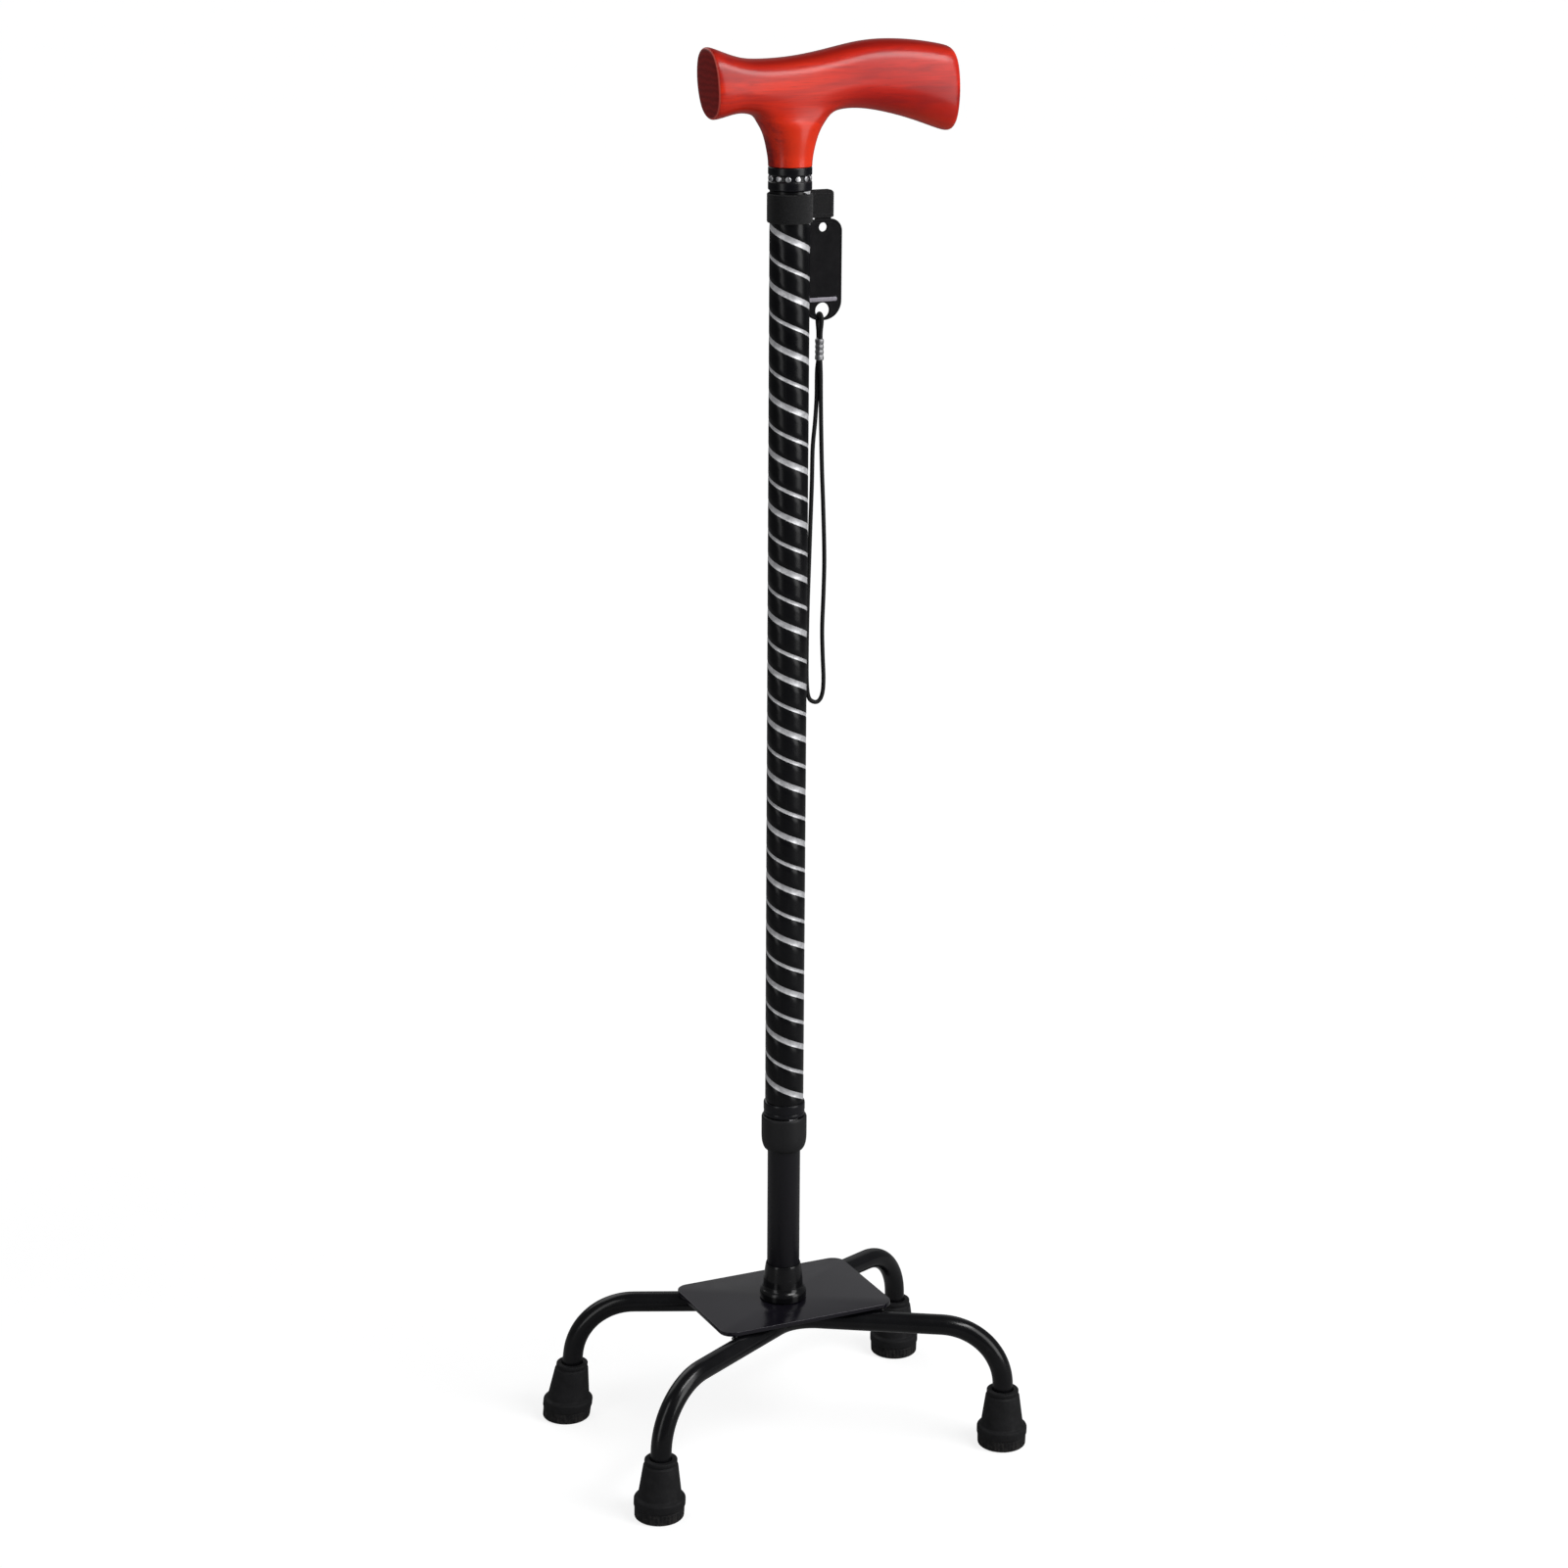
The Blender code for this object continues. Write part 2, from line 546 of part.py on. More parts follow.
def build_band():
    """An elastic ring round the tube whose two ends run out together as a sewn tab."""
    ring = [circle(BAND_R, z, TUBE_SIDES) for z in (BAND_BOTTOM, BAND_TOP)]
    band = add_object("strap_band", ring_mesh("strap_band", ring, False), "webbing")
    low_x = 2 * MM
    width = TAB_END_X - low_x
    height = BAND_TOP - BAND_BOTTOM - 0.6 * MM
    centre = (low_x + width / 2, (BAND_BOTTOM + BAND_TOP) / 2)
    outline = rounded_rectangle(width, height, [3 * MM, 0.5 * MM, 0.5 * MM, 1.5 * MM], 4, centre)
    tab = extruded("tab_union", outline, TAB_Y - TAB_T / 2, TAB_Y + TAB_T / 2, "webbing", upright_point)
    tab.hide_render = True
    tab.display_type = "WIRE"
    union = band.modifiers.new("tab", "BOOLEAN")
    union.operation = "UNION"
    union.solver = "EXACT"
    union.object = tab
    bore = [circle(SLEEVE_R, z, TUBE_SIDES) for z in (BAND_BOTTOM - 5 * MM, BAND_TOP + 5 * MM)]
    cut(band, add_object("band_bore_cutter", ring_mesh("band_bore_cutter", bore, False), "steel"))
    pocket = rounded_rectangle(10.4 * MM, 16 * MM, [0.8 * MM] * 4, 2, (TAG_X, BAND_BOTTOM))
    near, far = TAB_Y - 1.1 * MM, TAB_Y + 1.1 * MM
    cut(band, extruded("tag_pocket_cutter", pocket, near, far, "steel", upright_point))


def build_tag():
    middle = (TAG_BOTTOM + TAG_TOP) / 2
    height = TAG_TOP - TAG_BOTTOM
    corner, end = 7.0 * MM, 10.5 * MM
    outline = rounded_rectangle(TAG_W, height, [corner, corner, end, end], 6, (TAG_X, middle))
    low, high = TAB_Y - TAG_T / 2, TAB_Y + TAG_T / 2
    tag = extruded("strap_tag", outline, low, high, "tag_leather", upright_point)
    tongue = rounded_rectangle(9.4 * MM, 12 * MM, [0.6 * MM] * 4, 2, (TAG_X, TAG_TOP + 1.5 * MM))
    tongue_piece = extruded("tag_tongue_union", tongue, low, high, "tag_leather", upright_point)
    tongue_piece.hide_render = True
    tongue_piece.display_type = "WIRE"
    union = tag.modifiers.new("tongue", "BOOLEAN")
    union.operation = "UNION"
    union.solver = "EXACT"
    union.object = tongue_piece
    for name, z, radius in (("low", TAG_HOLE_Z, TAG_HOLE_R), ("high", 712.4 * MM, 2.5 * MM)):
        loop = [(TAG_X + x, z + y) for x, y, _ in circle(radius, 0, 20)]
        near, far = low - 3 * MM, high + 3 * MM
        cut(tag, extruded("tag_hole_cutter_" + name, loop, near, far, "steel", upright_point))


def build_cords():
    """A short bight from the crimp through the tag's lower hole, and the wrist loop below the crimp."""
    x, y = CORD_X, TAB_Y
    outline = rounded_rectangle(2.8 * MM, 4.9 * MM, [1.35 * MM] * 4, 4, (x, y))
    extruded("cord_crimp", outline, CRIMP_BOTTOM, CRIMP_TOP, "crimp_metal", flat_point)

    start = (CRIMP_TOP + GAP) / MM
    half = [(0, -1.3, start), (0, -1.3, 653.6), (0, -1.6, 656.1), (0, -2.2, 658.6), (0, -2.6, 660.9),
            (0, -2.5, 662.9), (0, -1.45, 664.4)]
    other_half = [(a, -b, c) for a, b, c in half[::-1]]
    bight = half + [(0, 0, 664.9)] + other_half     # rests on the hole's lower edge
    route = [(x + a * MM, y + b * MM, c * MM) for a, b, c in bight]
    cord("cord_bight", route, CORD_R, 1.25 * CORD_R, "cord_nylon")

    end = (CRIMP_BOTTOM - GAP) / MM
    loop = [
        (0.0, 1.3, end), (-0.8, 1.2, 634.0), (-1.1, 1.0, 628.0), (-1.2, 1.0, 618.0), (-2.0, 1.2, 605.0),
        (-3.0, 1.4, 590.0), (-3.2, 1.5, 570.0), (-3.9, 1.6, 545.0), (-4.6, 1.5, 522.0), (-5.3, 1.4, 498.0),
        (-5.7, 1.2, 472.0), (-5.5, 1.1, 455.0), (-4.3, 0.9, 446.6), (-1.2, 0.6, 443.8), (1.8, 0.4, 444.3),
        (3.8, 0.1, 448.5), (4.4, 0.0, 457.0), (3.6, -0.2, 472.0), (3.2, -0.2, 487.0), (3.8, -0.3, 508.0),
        (4.0, -0.4, 528.0), (3.1, -0.4, 555.0), (2.0, -0.5, 578.0), (1.4, -0.7, 597.0), (0.9, -0.9, 616.0),
        (0.6, -1.05, 629.0), (0.2, -1.25, 635.0), (0.0, -1.3, end),
    ]
    route = [(x + a * MM, y + b * MM, c * MM) for a, b, c in loop]
    cord("wrist_cord", route, CORD_R, 5 * CORD_R, "cord_nylon")


clear_scene()
build_feet()
build_base()
build_lower_shaft()
build_upper_shaft()
build_ferrule()
build_handle()
build_band()
build_tag()
build_cords()
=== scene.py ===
"""Looks of a quad walking cane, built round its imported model.

Metres, in the model's own frame: origin on the floor at the centre of the four feet, +Z up the shaft,
+X along the handle towards its long palm end, -Y the front. Sizes below are written in millimetres.
"""
from math import atan2, cos, exp, pi, radians, sin, sqrt, tan, tau

import bmesh
import bpy
from mathutils import Matrix, Vector


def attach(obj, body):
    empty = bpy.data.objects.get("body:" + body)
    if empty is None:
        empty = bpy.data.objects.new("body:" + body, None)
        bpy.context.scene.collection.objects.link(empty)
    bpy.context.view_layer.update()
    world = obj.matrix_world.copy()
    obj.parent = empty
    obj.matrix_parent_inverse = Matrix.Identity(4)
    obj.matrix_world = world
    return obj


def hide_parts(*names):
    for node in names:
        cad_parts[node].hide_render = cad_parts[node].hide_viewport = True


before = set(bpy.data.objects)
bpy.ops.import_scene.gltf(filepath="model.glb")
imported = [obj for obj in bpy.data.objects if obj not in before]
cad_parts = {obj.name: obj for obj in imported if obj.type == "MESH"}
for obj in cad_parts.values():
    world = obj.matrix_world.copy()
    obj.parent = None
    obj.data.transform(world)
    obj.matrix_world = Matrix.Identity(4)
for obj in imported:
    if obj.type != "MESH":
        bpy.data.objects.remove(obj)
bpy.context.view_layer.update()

MM = 0.001
SIDES = (("left", -1), ("right", 1))
ENDS = (("front", -1), ("back", 1))


# Camera, floor and light

def add_object(name, data):
    made = bpy.data.objects.new(name, data)
    bpy.context.collection.objects.link(made)
    return made


def build_camera():
    position = (-0.84, -1.7733, 0.9652)
    heading, tilt, roll = radians(25.31), radians(16.055), radians(0.355)
    data = bpy.data.cameras.new("camera")
    data.sensor_width = 36
    data.lens = 82.79
    data.clip_end = 200
    camera = add_object("camera", data)
    turn = Matrix.Rotation(-heading, 4, "Z") @ Matrix.Rotation(pi / 2 - tilt, 4, "X")
    camera.matrix_world = Matrix.Translation(position) @ turn @ Matrix.Rotation(roll, 4, "Z")
    bpy.context.scene.camera = camera


LIGHTS_AIM = Vector((0, 0, 0.42))
FLOOR_RADIUS = 60


def softbox(name, azimuth, elevation, distance, width, height, watts):
    """A rectangular light facing the middle of the cane. Angles are in degrees, azimuth from +X."""
    data = bpy.data.lights.new(name, "AREA")
    data.shape = "RECTANGLE"
    data.size = width
    data.size_y = height
    data.energy = watts
    light = add_object(name, data)
    a, e = radians(azimuth), radians(elevation)
    away = Vector((cos(a) * cos(e), sin(a) * cos(e), sin(e)))
    light.location = LIGHTS_AIM + away * distance
    light.rotation_euler = away.to_track_quat("Z", "Y").to_euler()
    light.visible_camera = False


def build_world():
    """A dim room that lights the cane, and a white backdrop for the camera."""
    world = bpy.data.worlds.new("studio")
    bpy.context.scene.world = world
    world.use_nodes = True
    nodes, links = world.node_tree.nodes, world.node_tree.links
    room = nodes["Background"]
    room.inputs["Color"].default_value = (0.96, 0.98, 1.0, 1.0)
    room.inputs["Strength"].default_value = 0.15
    backdrop = nodes.new("ShaderNodeBackground")
    backdrop.inputs["Color"].default_value = (1.0, 1.0, 1.0, 1.0)
    path = nodes.new("ShaderNodeLightPath")
    either = nodes.new("ShaderNodeMixShader")
    links.new(path.outputs["Is Camera Ray"], either.inputs[0])
    links.new(room.outputs[0], either.inputs[1])
    links.new(backdrop.outputs[0], either.inputs[2])
    links.new(either.outputs[0], nodes["World Output"].inputs[0])


def build_floor():
    """Grey paper that glows for the camera, so it is white round the contact shadows."""
    bm = bmesh.new()
    bmesh.ops.create_circle(bm, cap_ends=True, segments=96, radius=FLOOR_RADIUS)
    mesh = bpy.data.meshes.new("studio_floor")
    bm.to_mesh(mesh)
    bm.free()
    floor = add_object("studio_floor", mesh)
    paper = Paint("floor_paper", Roughness=0.9)
    shade = paper.noise(3, 3)
    paper.join("Base Color", paper.ramp(shade, (0.3, (0.3, 0.3, 0.3)), (0.7, (0.32, 0.32, 0.32))))
    seen = paper.add("LightPath", {})
    far = paper.add("VectorMath", {0: paper.point}, output=1, operation="LENGTH")
    glow = paper.spread(far, 0.8, 0.95, 0.4, 3.5)
    paper.join("Emission Strength", paper.math("MULTIPLY", seen, glow))
    mesh.materials.append(paper.material)


def build_stage():
    bpy.context.scene.view_settings.view_transform = "Standard"
    build_world()
    build_floor()
    # azimuth, elevation, distance, width, height and power of each light
    softbox("right_softbox", -52, 16, 1.7, 0.85, 1.6, 15)
    softbox("right_top_softbox", -55, 47, 1.7, 1.1, 0.36, 14)
    softbox("left_softbox", -158, 14, 1.7, 0.5, 1.9, 6)
    softbox("back_softbox", 66, 24, 2.6, 3, 1.8, 4)
    softbox("back_fill_softbox", 106, 34, 2.6, 2.2, 1.6, 13)


# Materials

class Paint:
    """A node material being put together: each method adds a node and gives its output."""

    def __init__(self, name, gloss=0.5, **sockets):
        self.material = bpy.data.materials.new(name)
        self.material.use_nodes = True
        self.tree = self.material.node_tree
        self.shader = self.tree.nodes["Principled BSDF"]
        self.shader.inputs["Specular IOR Level"].default_value = gloss
        for key, value in sockets.items():
            self.shader.inputs[key.replace("_", " ")].default_value = value
        coordinates = self.tree.nodes.new("ShaderNodeTexCoord")
        self.point = coordinates.outputs["Object"]
        self.normal = coordinates.outputs["Normal"]

    def add(self, kind, inputs, output=0, **settings):
        node = self.tree.nodes.new("ShaderNode" + kind)
        for key, value in settings.items():
            setattr(node, key, value)
        for key, value in inputs.items():
            if isinstance(value, bpy.types.NodeSocket):
                self.tree.links.new(value, node.inputs[key])
            else:
                node.inputs[key].default_value = value
        return node.outputs[output]

    def join(self, socket, value):
        self.tree.links.new(value, self.shader.inputs[socket])

    def joined(self, socket):
        """The output that already feeds a socket of the shader."""
        return self.shader.inputs[socket].links[0].from_socket

    def math(self, operation, *values):
        return self.add("Math", dict(enumerate(values)), operation=operation)

    def axis(self, index, vector=None):
        return self.add("SeparateXYZ", {0: vector or self.point}, output=index)

    def stretch(self, scale):
        return self.add("VectorMath", {0: self.point, 1: scale}, operation="MULTIPLY")

    def noise(self, scale, detail=3, stretch=(1, 1, 1), distortion=0):
        inputs = {"Vector": self.stretch(stretch), "Scale": scale, "Detail": detail, "Distortion": distortion}
        return self.add("TexNoise", inputs)

    def cells(self, scale, stretch=(1, 1, 1), feature="F1"):
        inputs = {"Vector": self.stretch(stretch), "Scale": scale}
        return self.add("TexVoronoi", inputs, feature=feature)

    def ramp(self, factor, *stops):
        node = self.tree.nodes.new("ShaderNodeValToRGB")
        self.tree.links.new(factor, node.inputs[0])
        elements = node.color_ramp.elements
        while len(elements) < len(stops):
            elements.new(0.5)
        for element, (place, colour) in zip(elements, stops):
            element.position = place
            element.color = (*colour, 1.0)
        return node.outputs[0]

    def tones(self, factor, dark, light, start=0.35, end=0.7):
        """The base colour: dark below start, light above end, blended between."""
        self.join("Base Color", self.ramp(factor, (start, dark), (end, light)))

    def spread(self, factor, low, high, start=0.3, end=0.7):
        """A factor between start and end carried to low and high."""
        return self.add("MapRange", {0: factor, 1: start, 2: end, 3: low, 4: high})

    def rough(self, factor, low, high):
        self.join("Roughness", self.spread(factor, low, high))

    def mix(self, factor, a, b, blend="MIX"):
        return self.add("Mix", {0: factor, 6: a, 7: b}, output=2, data_type="RGBA", blend_type=blend)

    def bump(self, height, distance, strength=1, under=None):
        inputs = {"Height": height, "Distance": distance * MM, "Strength": strength}
        if under:
            inputs["Normal"] = under
        return self.add("Bump", inputs)


def coated(name, dark, light, rough, grain, bump, grain_stretch=(1, 1, 1), **sockets):
    """Paint or plastic with a fine surface: grain is its scale per metre, bump its depth in millimetres."""
    paint = Paint(name, **sockets)
    paint.tones(paint.noise(45, 4, grain_stretch), dark, light, end=0.68)
    paint.rough(paint.noise(130, 5, grain_stretch, 0.4), *rough)
    paint.join("Normal", paint.bump(paint.noise(grain, 3, grain_stretch), bump))
    return paint


def rubber_material():
    """Matt moulded rubber with pale dust towards the floor."""
    paint = Paint("moulded_rubber", gloss=0.28)
    cloud = paint.noise(110, 5)
    base = paint.ramp(cloud, (0.35, (0.0055, 0.0055, 0.0062)), (0.7, (0.009, 0.009, 0.0102)))
    near_floor = paint.spread(paint.axis(2), 1, 0, 0, 0.009)
    dust = paint.math("MULTIPLY", near_floor, paint.spread(paint.noise(420, 6), 0, 0.75, 0.42, 0.72))
    paint.join("Base Color", paint.mix(dust, base, (0.055, 0.05, 0.046, 1)))
    paint.rough(paint.noise(260), 0.62, 0.82)
    fine = paint.bump(paint.noise(2600, 2), 0.05)
    paint.join("Normal", paint.bump(paint.noise(700, 4), 0.06, under=fine))
    return paint.material


def leg_material():
    paint = coated("gloss_black_paint", (0.0025, 0.0025, 0.0032), (0.0048, 0.0048, 0.0058),
                   (0.19, 0.28), 700, 0.012, gloss=0.26)
    scuffs = paint.spread(paint.noise(90, 8, (1, 1, 3), 1.2), 0, 0.25, 0.66, 0.75)
    paint.join("Coat Weight", paint.spread(paint.noise(60), 0.1, 0.22))
    paint.join("Base Color", paint.mix(scuffs, paint.joined("Base Color"), (0.03, 0.03, 0.034, 1)))
    paint.shader.inputs["Coat Roughness"].default_value = 0.12
    return paint.material


def shaft_material(name, dark, light, rough, gloss):
    paint = coated(name, dark, light, rough, 500, 0.006, (1, 1, 0.25), gloss=gloss)
    scuffs = paint.spread(paint.noise(900, 3, (1, 1, 0.03)), 0, 0.35, 0.62, 0.78)
    paint.join("Base Color", paint.mix(scuffs, paint.joined("Base Color"), (0.016, 0.016, 0.018, 1)))
    return paint.material


def brushed_metal(name, dark, light, rough, stretch):
    """Bare metal with fine lines along its worked direction."""
    paint = Paint(name, Metallic=1)
    lines = paint.noise(1800, 3, stretch)
    paint.tones(paint.noise(160, 5), dark, light)
    paint.rough(lines, *rough)
    paint.join("Normal", paint.bump(lines, 0.012))
    return paint.material


def spiral_material():
    """Satin silver with the cutter's fine marks."""
    paint = Paint("engraved_spiral_silver", Metallic=0.45)
    marks = paint.noise(1500, 3, (1, 1, 0.3))
    paint.tones(paint.noise(420, 4), (0.58, 0.58, 0.6), (0.82, 0.82, 0.84))
    paint.rough(marks, 0.38, 0.52)
    paint.join("Normal", paint.bump(marks, 0.012))
    return paint.material


def wood_material():
    """Red-stained beech under clear lacquer: grain along the grip, darker rings on the cut end."""
    paint = Paint("stained_handle_wood", Coat_IOR=1.45, Coat_Roughness=0.21, gloss=0.1)
    flow = paint.noise(60, 3, (0.11, 1, 1), 0.8)
    streak = paint.noise(105, 5, (0.1, 1, 1), 2.2)
    fibre = paint.noise(1000, 4, (0.03, 1, 1))
    cloud = paint.noise(24, 3, (0.5, 1, 1), 0.6)
    red = paint.ramp(flow, (0.34, (0.38, 0.0085, 0.003)), (0.5, (0.6, 0.017, 0.0055)),
                     (0.66, (0.82, 0.034, 0.0095)))
    dark_streaks = paint.spread(streak, 0, 0.62, 0.5, 0.72)
    red = paint.mix(dark_streaks, red, (0.24, 0.011, 0.018, 1))
    red = paint.mix(paint.spread(fibre, 0, 0.35, 0.5, 0.75), red, (0.2, 0.006, 0.005, 1))
    red = paint.mix(paint.spread(cloud, 0, 0.4, 0.45, 0.7), red, (0.7, 0.035, 0.01, 1))
    pores = paint.spread(paint.cells(1300, (0.05, 1, 1)), 0.5, 0, 0.05, 0.2)
    red = paint.mix(pores, red, (0.12, 0.004, 0.004, 1))
    # painted light and shade: the neck is painted lighter except on its side facing -X, and the sides of the
    # palm end are painted darker
    on_neck = paint.spread(paint.axis(2), 0.7, 0, 0.762, 0.782)
    painted_light_side = paint.spread(paint.axis(0, paint.normal), 0, 1, -0.72, -0.36)
    red = paint.mix(paint.math("MULTIPLY", on_neck, painted_light_side), red, (0.84, 0.045, 0.012, 1))
    # painted shade: faces turned upward are painted darker, and get a thinner lacquer coat so they reflect
    # less
    painted_top_shade = paint.spread(paint.axis(2, paint.normal), 0, 0.8, 0.6, 0.88)
    red = paint.mix(painted_top_shade, red, (0.24, 0.004, 0.0008, 1))
    paint.join("Coat Weight", paint.spread(painted_top_shade, 0.45, 0.12, 0, 0.8))
    # painted shade: the sides of the palm end are darkened by multiplying the colour
    on_palm = paint.spread(paint.axis(0), 0, 1, 0.008, 0.04)
    painted_side_shade = paint.spread(paint.math("ABSOLUTE", paint.axis(1, paint.normal)), 0, 1, 0.6, 0.92)
    red = paint.mix(paint.math("MULTIPLY", on_palm, painted_side_shade), red, (0.78, 0.44, 0.5, 1), "MULTIPLY")

    # the flat cut end shows dark rings inside a paler rim; the rim's paler colour is a painted highlight
    facing = paint.math("ABSOLUTE", paint.axis(0, paint.normal))
    at_cut = paint.spread(paint.axis(0), 0.75, 0, -0.0475, -0.0455)
    painted_rim_highlight = paint.spread(facing, 0, 1, 0.35, 0.75)
    red = paint.mix(paint.math("MULTIPLY", painted_rim_highlight, at_cut), red, (0.85, 0.14, 0.11, 1))
    cut_end = paint.spread(facing, 0, 1, 0.9, 0.97)
    rings = paint.add("TexWave", {"Vector": paint.stretch((0.2, 1, 1)), "Scale": 90, "Distortion": 5,
                                  "Detail": 3, "Detail Scale": 1.4}, wave_type="RINGS", rings_direction="X")
    end_grain = paint.ramp(rings, (0.2, (0.21, 0.0085, 0.007)), (0.8, (0.27, 0.012, 0.01)))
    paint.join("Base Color", paint.mix(cut_end, red, end_grain))
    paint.rough(fibre, 0.34, 0.46)
    paint.join("Normal", paint.bump(fibre, 0.02))
    return paint.material


def webbing_material():
    """Woven elastic: ribs round the band crossed by fine threads."""
    paint = Paint("woven_webbing", Sheen_Weight=0.12, Sheen_Roughness=0.5, gloss=0.2)
    rib_pitch, thread_pitch = 0.62 * MM, 0.55 * MM
    ribs = paint.math("SINE", paint.math("MULTIPLY", paint.axis(2), tau / rib_pitch))
    round_it = paint.math("ADD", paint.axis(0), paint.math("MULTIPLY", paint.axis(1), 0.8))
    threads = paint.math("SINE", paint.math("MULTIPLY", round_it, tau / thread_pitch))
    weave = paint.math("MULTIPLY", ribs, threads)
    fuzz = paint.noise(1800, 4)
    tone = paint.math("ADD", paint.math("MULTIPLY", weave, 0.18), fuzz)
    paint.tones(tone, (0.006, 0.006, 0.0066), (0.014, 0.014, 0.015), 0.3, 0.72)
    paint.rough(fuzz, 0.78, 0.95)
    paint.join("Normal", paint.bump(weave, 0.1, under=paint.bump(fuzz, 0.08)))
    return paint.material


def leather_material():
    paint = Paint("pressed_tag_leather", gloss=0.12)
    grain = paint.cells(1300, feature="SMOOTH_F1")
    paint.tones(paint.noise(90, 4), (0.0022, 0.002, 0.0028), (0.0042, 0.0038, 0.0048))
    paint.rough(paint.noise(240), 0.55, 0.7)
    paint.join("Normal", paint.bump(grain, 0.03, under=paint.bump(paint.noise(2500), 0.015)))
    return paint.material


def foil_material():
    paint = Paint("grey_foil", Metallic=0.5)
    worn = paint.noise(900, 5)
    paint.tones(worn, (0.17, 0.16, 0.185), (0.3, 0.285, 0.32), end=0.65)
    paint.rough(worn, 0.36, 0.55)
    return paint.material


def thread_material(name, dark, light):
    """Nylon filaments of a braid or a stitch."""
    paint = Paint(name, Sheen_Weight=0.15, Sheen_Roughness=0.4, gloss=0.25)
    strands = paint.noise(5200, 3, (1, 1, 0.45))
    paint.tones(strands, dark, light)
    paint.rough(strands, 0.6, 0.8)
    paint.join("Normal", paint.bump(strands, 0.03))
    return paint.material


def build_materials():
    return {
        "rubber": rubber_material(),
        "legs": leg_material(),
        "plate": coated("satin_plate_paint", (0.0055, 0.0048, 0.008), (0.0085, 0.0076, 0.0115), (0.13, 0.2),
                        1500, 0.006, gloss=0.45, Specular_Tint=(0.97, 0.94, 1.0, 1.0)).material,
        "shaft": shaft_material("gloss_shaft_lacquer", (0.0022, 0.0022, 0.003), (0.0045, 0.0045, 0.0055),
                                (0.24, 0.33), 0.24),
        "lower_shaft": shaft_material("satin_shaft_lacquer", (0.0055, 0.005, 0.0075),
                                      (0.0085, 0.008, 0.011), (0.3, 0.4), 0.34),
        "spiral": spiral_material(),
        "collar": coated("moulded_collar_plastic", (0.0085, 0.0085, 0.0095), (0.0125, 0.0125, 0.014),
                         (0.46, 0.6), 2400, 0.035, gloss=0.35).material,
        "ferrule": coated("black_ferrule_gloss", (0.004, 0.004, 0.006), (0.008, 0.008, 0.011), (0.24, 0.34),
                          600, 0.006, gloss=0.3).material,
        "bead": brushed_metal("bright_bead_metal", (0.56, 0.56, 0.58), (0.72, 0.72, 0.74),
                              (0.32, 0.42), (1, 1, 1)),
        "wood": wood_material(),
        "steel": brushed_metal("zinc_steel", (0.4, 0.4, 0.42), (0.55, 0.55, 0.57),
                               (0.26, 0.42), (1, 1, 0.15)),
        "aluminium": brushed_metal("turned_aluminium", (0.55, 0.55, 0.56), (0.68, 0.68, 0.7),
                                   (0.3, 0.45), (1, 1, 4)),
        "crimp": brushed_metal("dull_crimp_metal", (0.2, 0.2, 0.21), (0.34, 0.34, 0.35),
                               (0.42, 0.58), (1, 1, 0.3)),
        "nylon": coated("natural_nylon", (0.5, 0.49, 0.45), (0.62, 0.61, 0.57), (0.42, 0.55),
                        1200, 0.02).material,
        "webbing": webbing_material(),
        "leather": leather_material(),
        "foil": foil_material(),
        "cord": thread_material("braided_cord_nylon", (0.006, 0.006, 0.0065), (0.016, 0.016, 0.017)),
        "stitch": thread_material("stitch_thread", (0.016, 0.016, 0.017), (0.032, 0.032, 0.034)),
    }


# Mesh helpers

def parabola(start, corner, end, steps):
    points = []
    for k in range(steps + 1):
        t = k / steps
        points.append(start * (1 - t) ** 2 + corner * 2 * t * (1 - t) + end * t * t)
    return points


def soften(points, radius, steps=4, closed=True):
    """Round the corners of a line of points; a corner takes at most 45% of its shorter side."""
    count = len(points)
    result = []
    for i, point in enumerate(points):
        corner = Vector(point)
        if not closed and i in (0, count - 1):
            result.append(corner)
            continue
        before = Vector(points[i - 1]) - corner
        after = Vector(points[(i + 1) % count]) - corner
        reach = min(radius, 0.45 * before.length, 0.45 * after.length)
        start = corner + before.normalized() * reach
        end = corner + after.normalized() * reach
        result += parabola(start, corner, end, steps)
    return result


def mesh_of(bm, sharp=40):
    bmesh.ops.recalc_face_normals(bm, faces=bm.faces)
    mesh = bpy.data.meshes.new("mesh")
    bm.to_mesh(mesh)
    bm.free()
    mesh.shade_smooth()
    mesh.set_sharp_from_angle(angle=radians(sharp))
    return mesh


def join_loops(bm, low, high):
    """Faces between two equal loops; a quad whose corners share a vertex becomes a triangle."""
    for corners in zip(low, low[1:] + low[:1], high[1:] + high[:1], high):
        bm.faces.new(dict.fromkeys(corners))


def skin(rings, closed=False, sharp=40):
    """Quads between equal rings of points. closed joins the last ring to the first; else both are capped."""
    bm = bmesh.new()
    loops = [[bm.verts.new(p) for p in ring] for ring in rings]
    pairs = list(zip(loops, loops[1:]))
    if closed:
        pairs.append((loops[-1], loops[0]))
    else:
        bm.faces.new(loops[0])
        bm.faces.new(loops[-1])
    for low, high in pairs:
        join_loops(bm, low, high)
    return mesh_of(bm, sharp)


def lathe(profile, sides=96, ripple=None):
    """A closed profile of (radius, height) turned about Z. A point on the axis becomes one vertex.
    ripple(radius, height, angle) may change a radius."""
    bm = bmesh.new()
    turn = [tau * i / sides for i in range(sides)]
    rings = []
    for radius, height in profile:
        if radius < 1e-9:
            rings.append([bm.verts.new((0, 0, height))] * sides)
            continue
        ring = []
        for a in turn:
            r = ripple(radius, height, a) if ripple else radius
            ring.append(bm.verts.new((r * cos(a), r * sin(a), height)))
        rings.append(ring)
    for low, high in zip(rings, rings[1:] + rings[:1]):
        if low[0] is not low[1] or high[0] is not high[1]:
            join_loops(bm, low, high)
    return mesh_of(bm)


def turned(profile, rounding, steps, sides=96, closed=True, ripple=None):
    """A profile in millimetres, its corners rounded, turned about Z."""
    metres = [(radius * MM, height * MM) for radius, height in profile]
    return lathe(soften(metres, rounding * MM, steps, closed), sides, ripple)


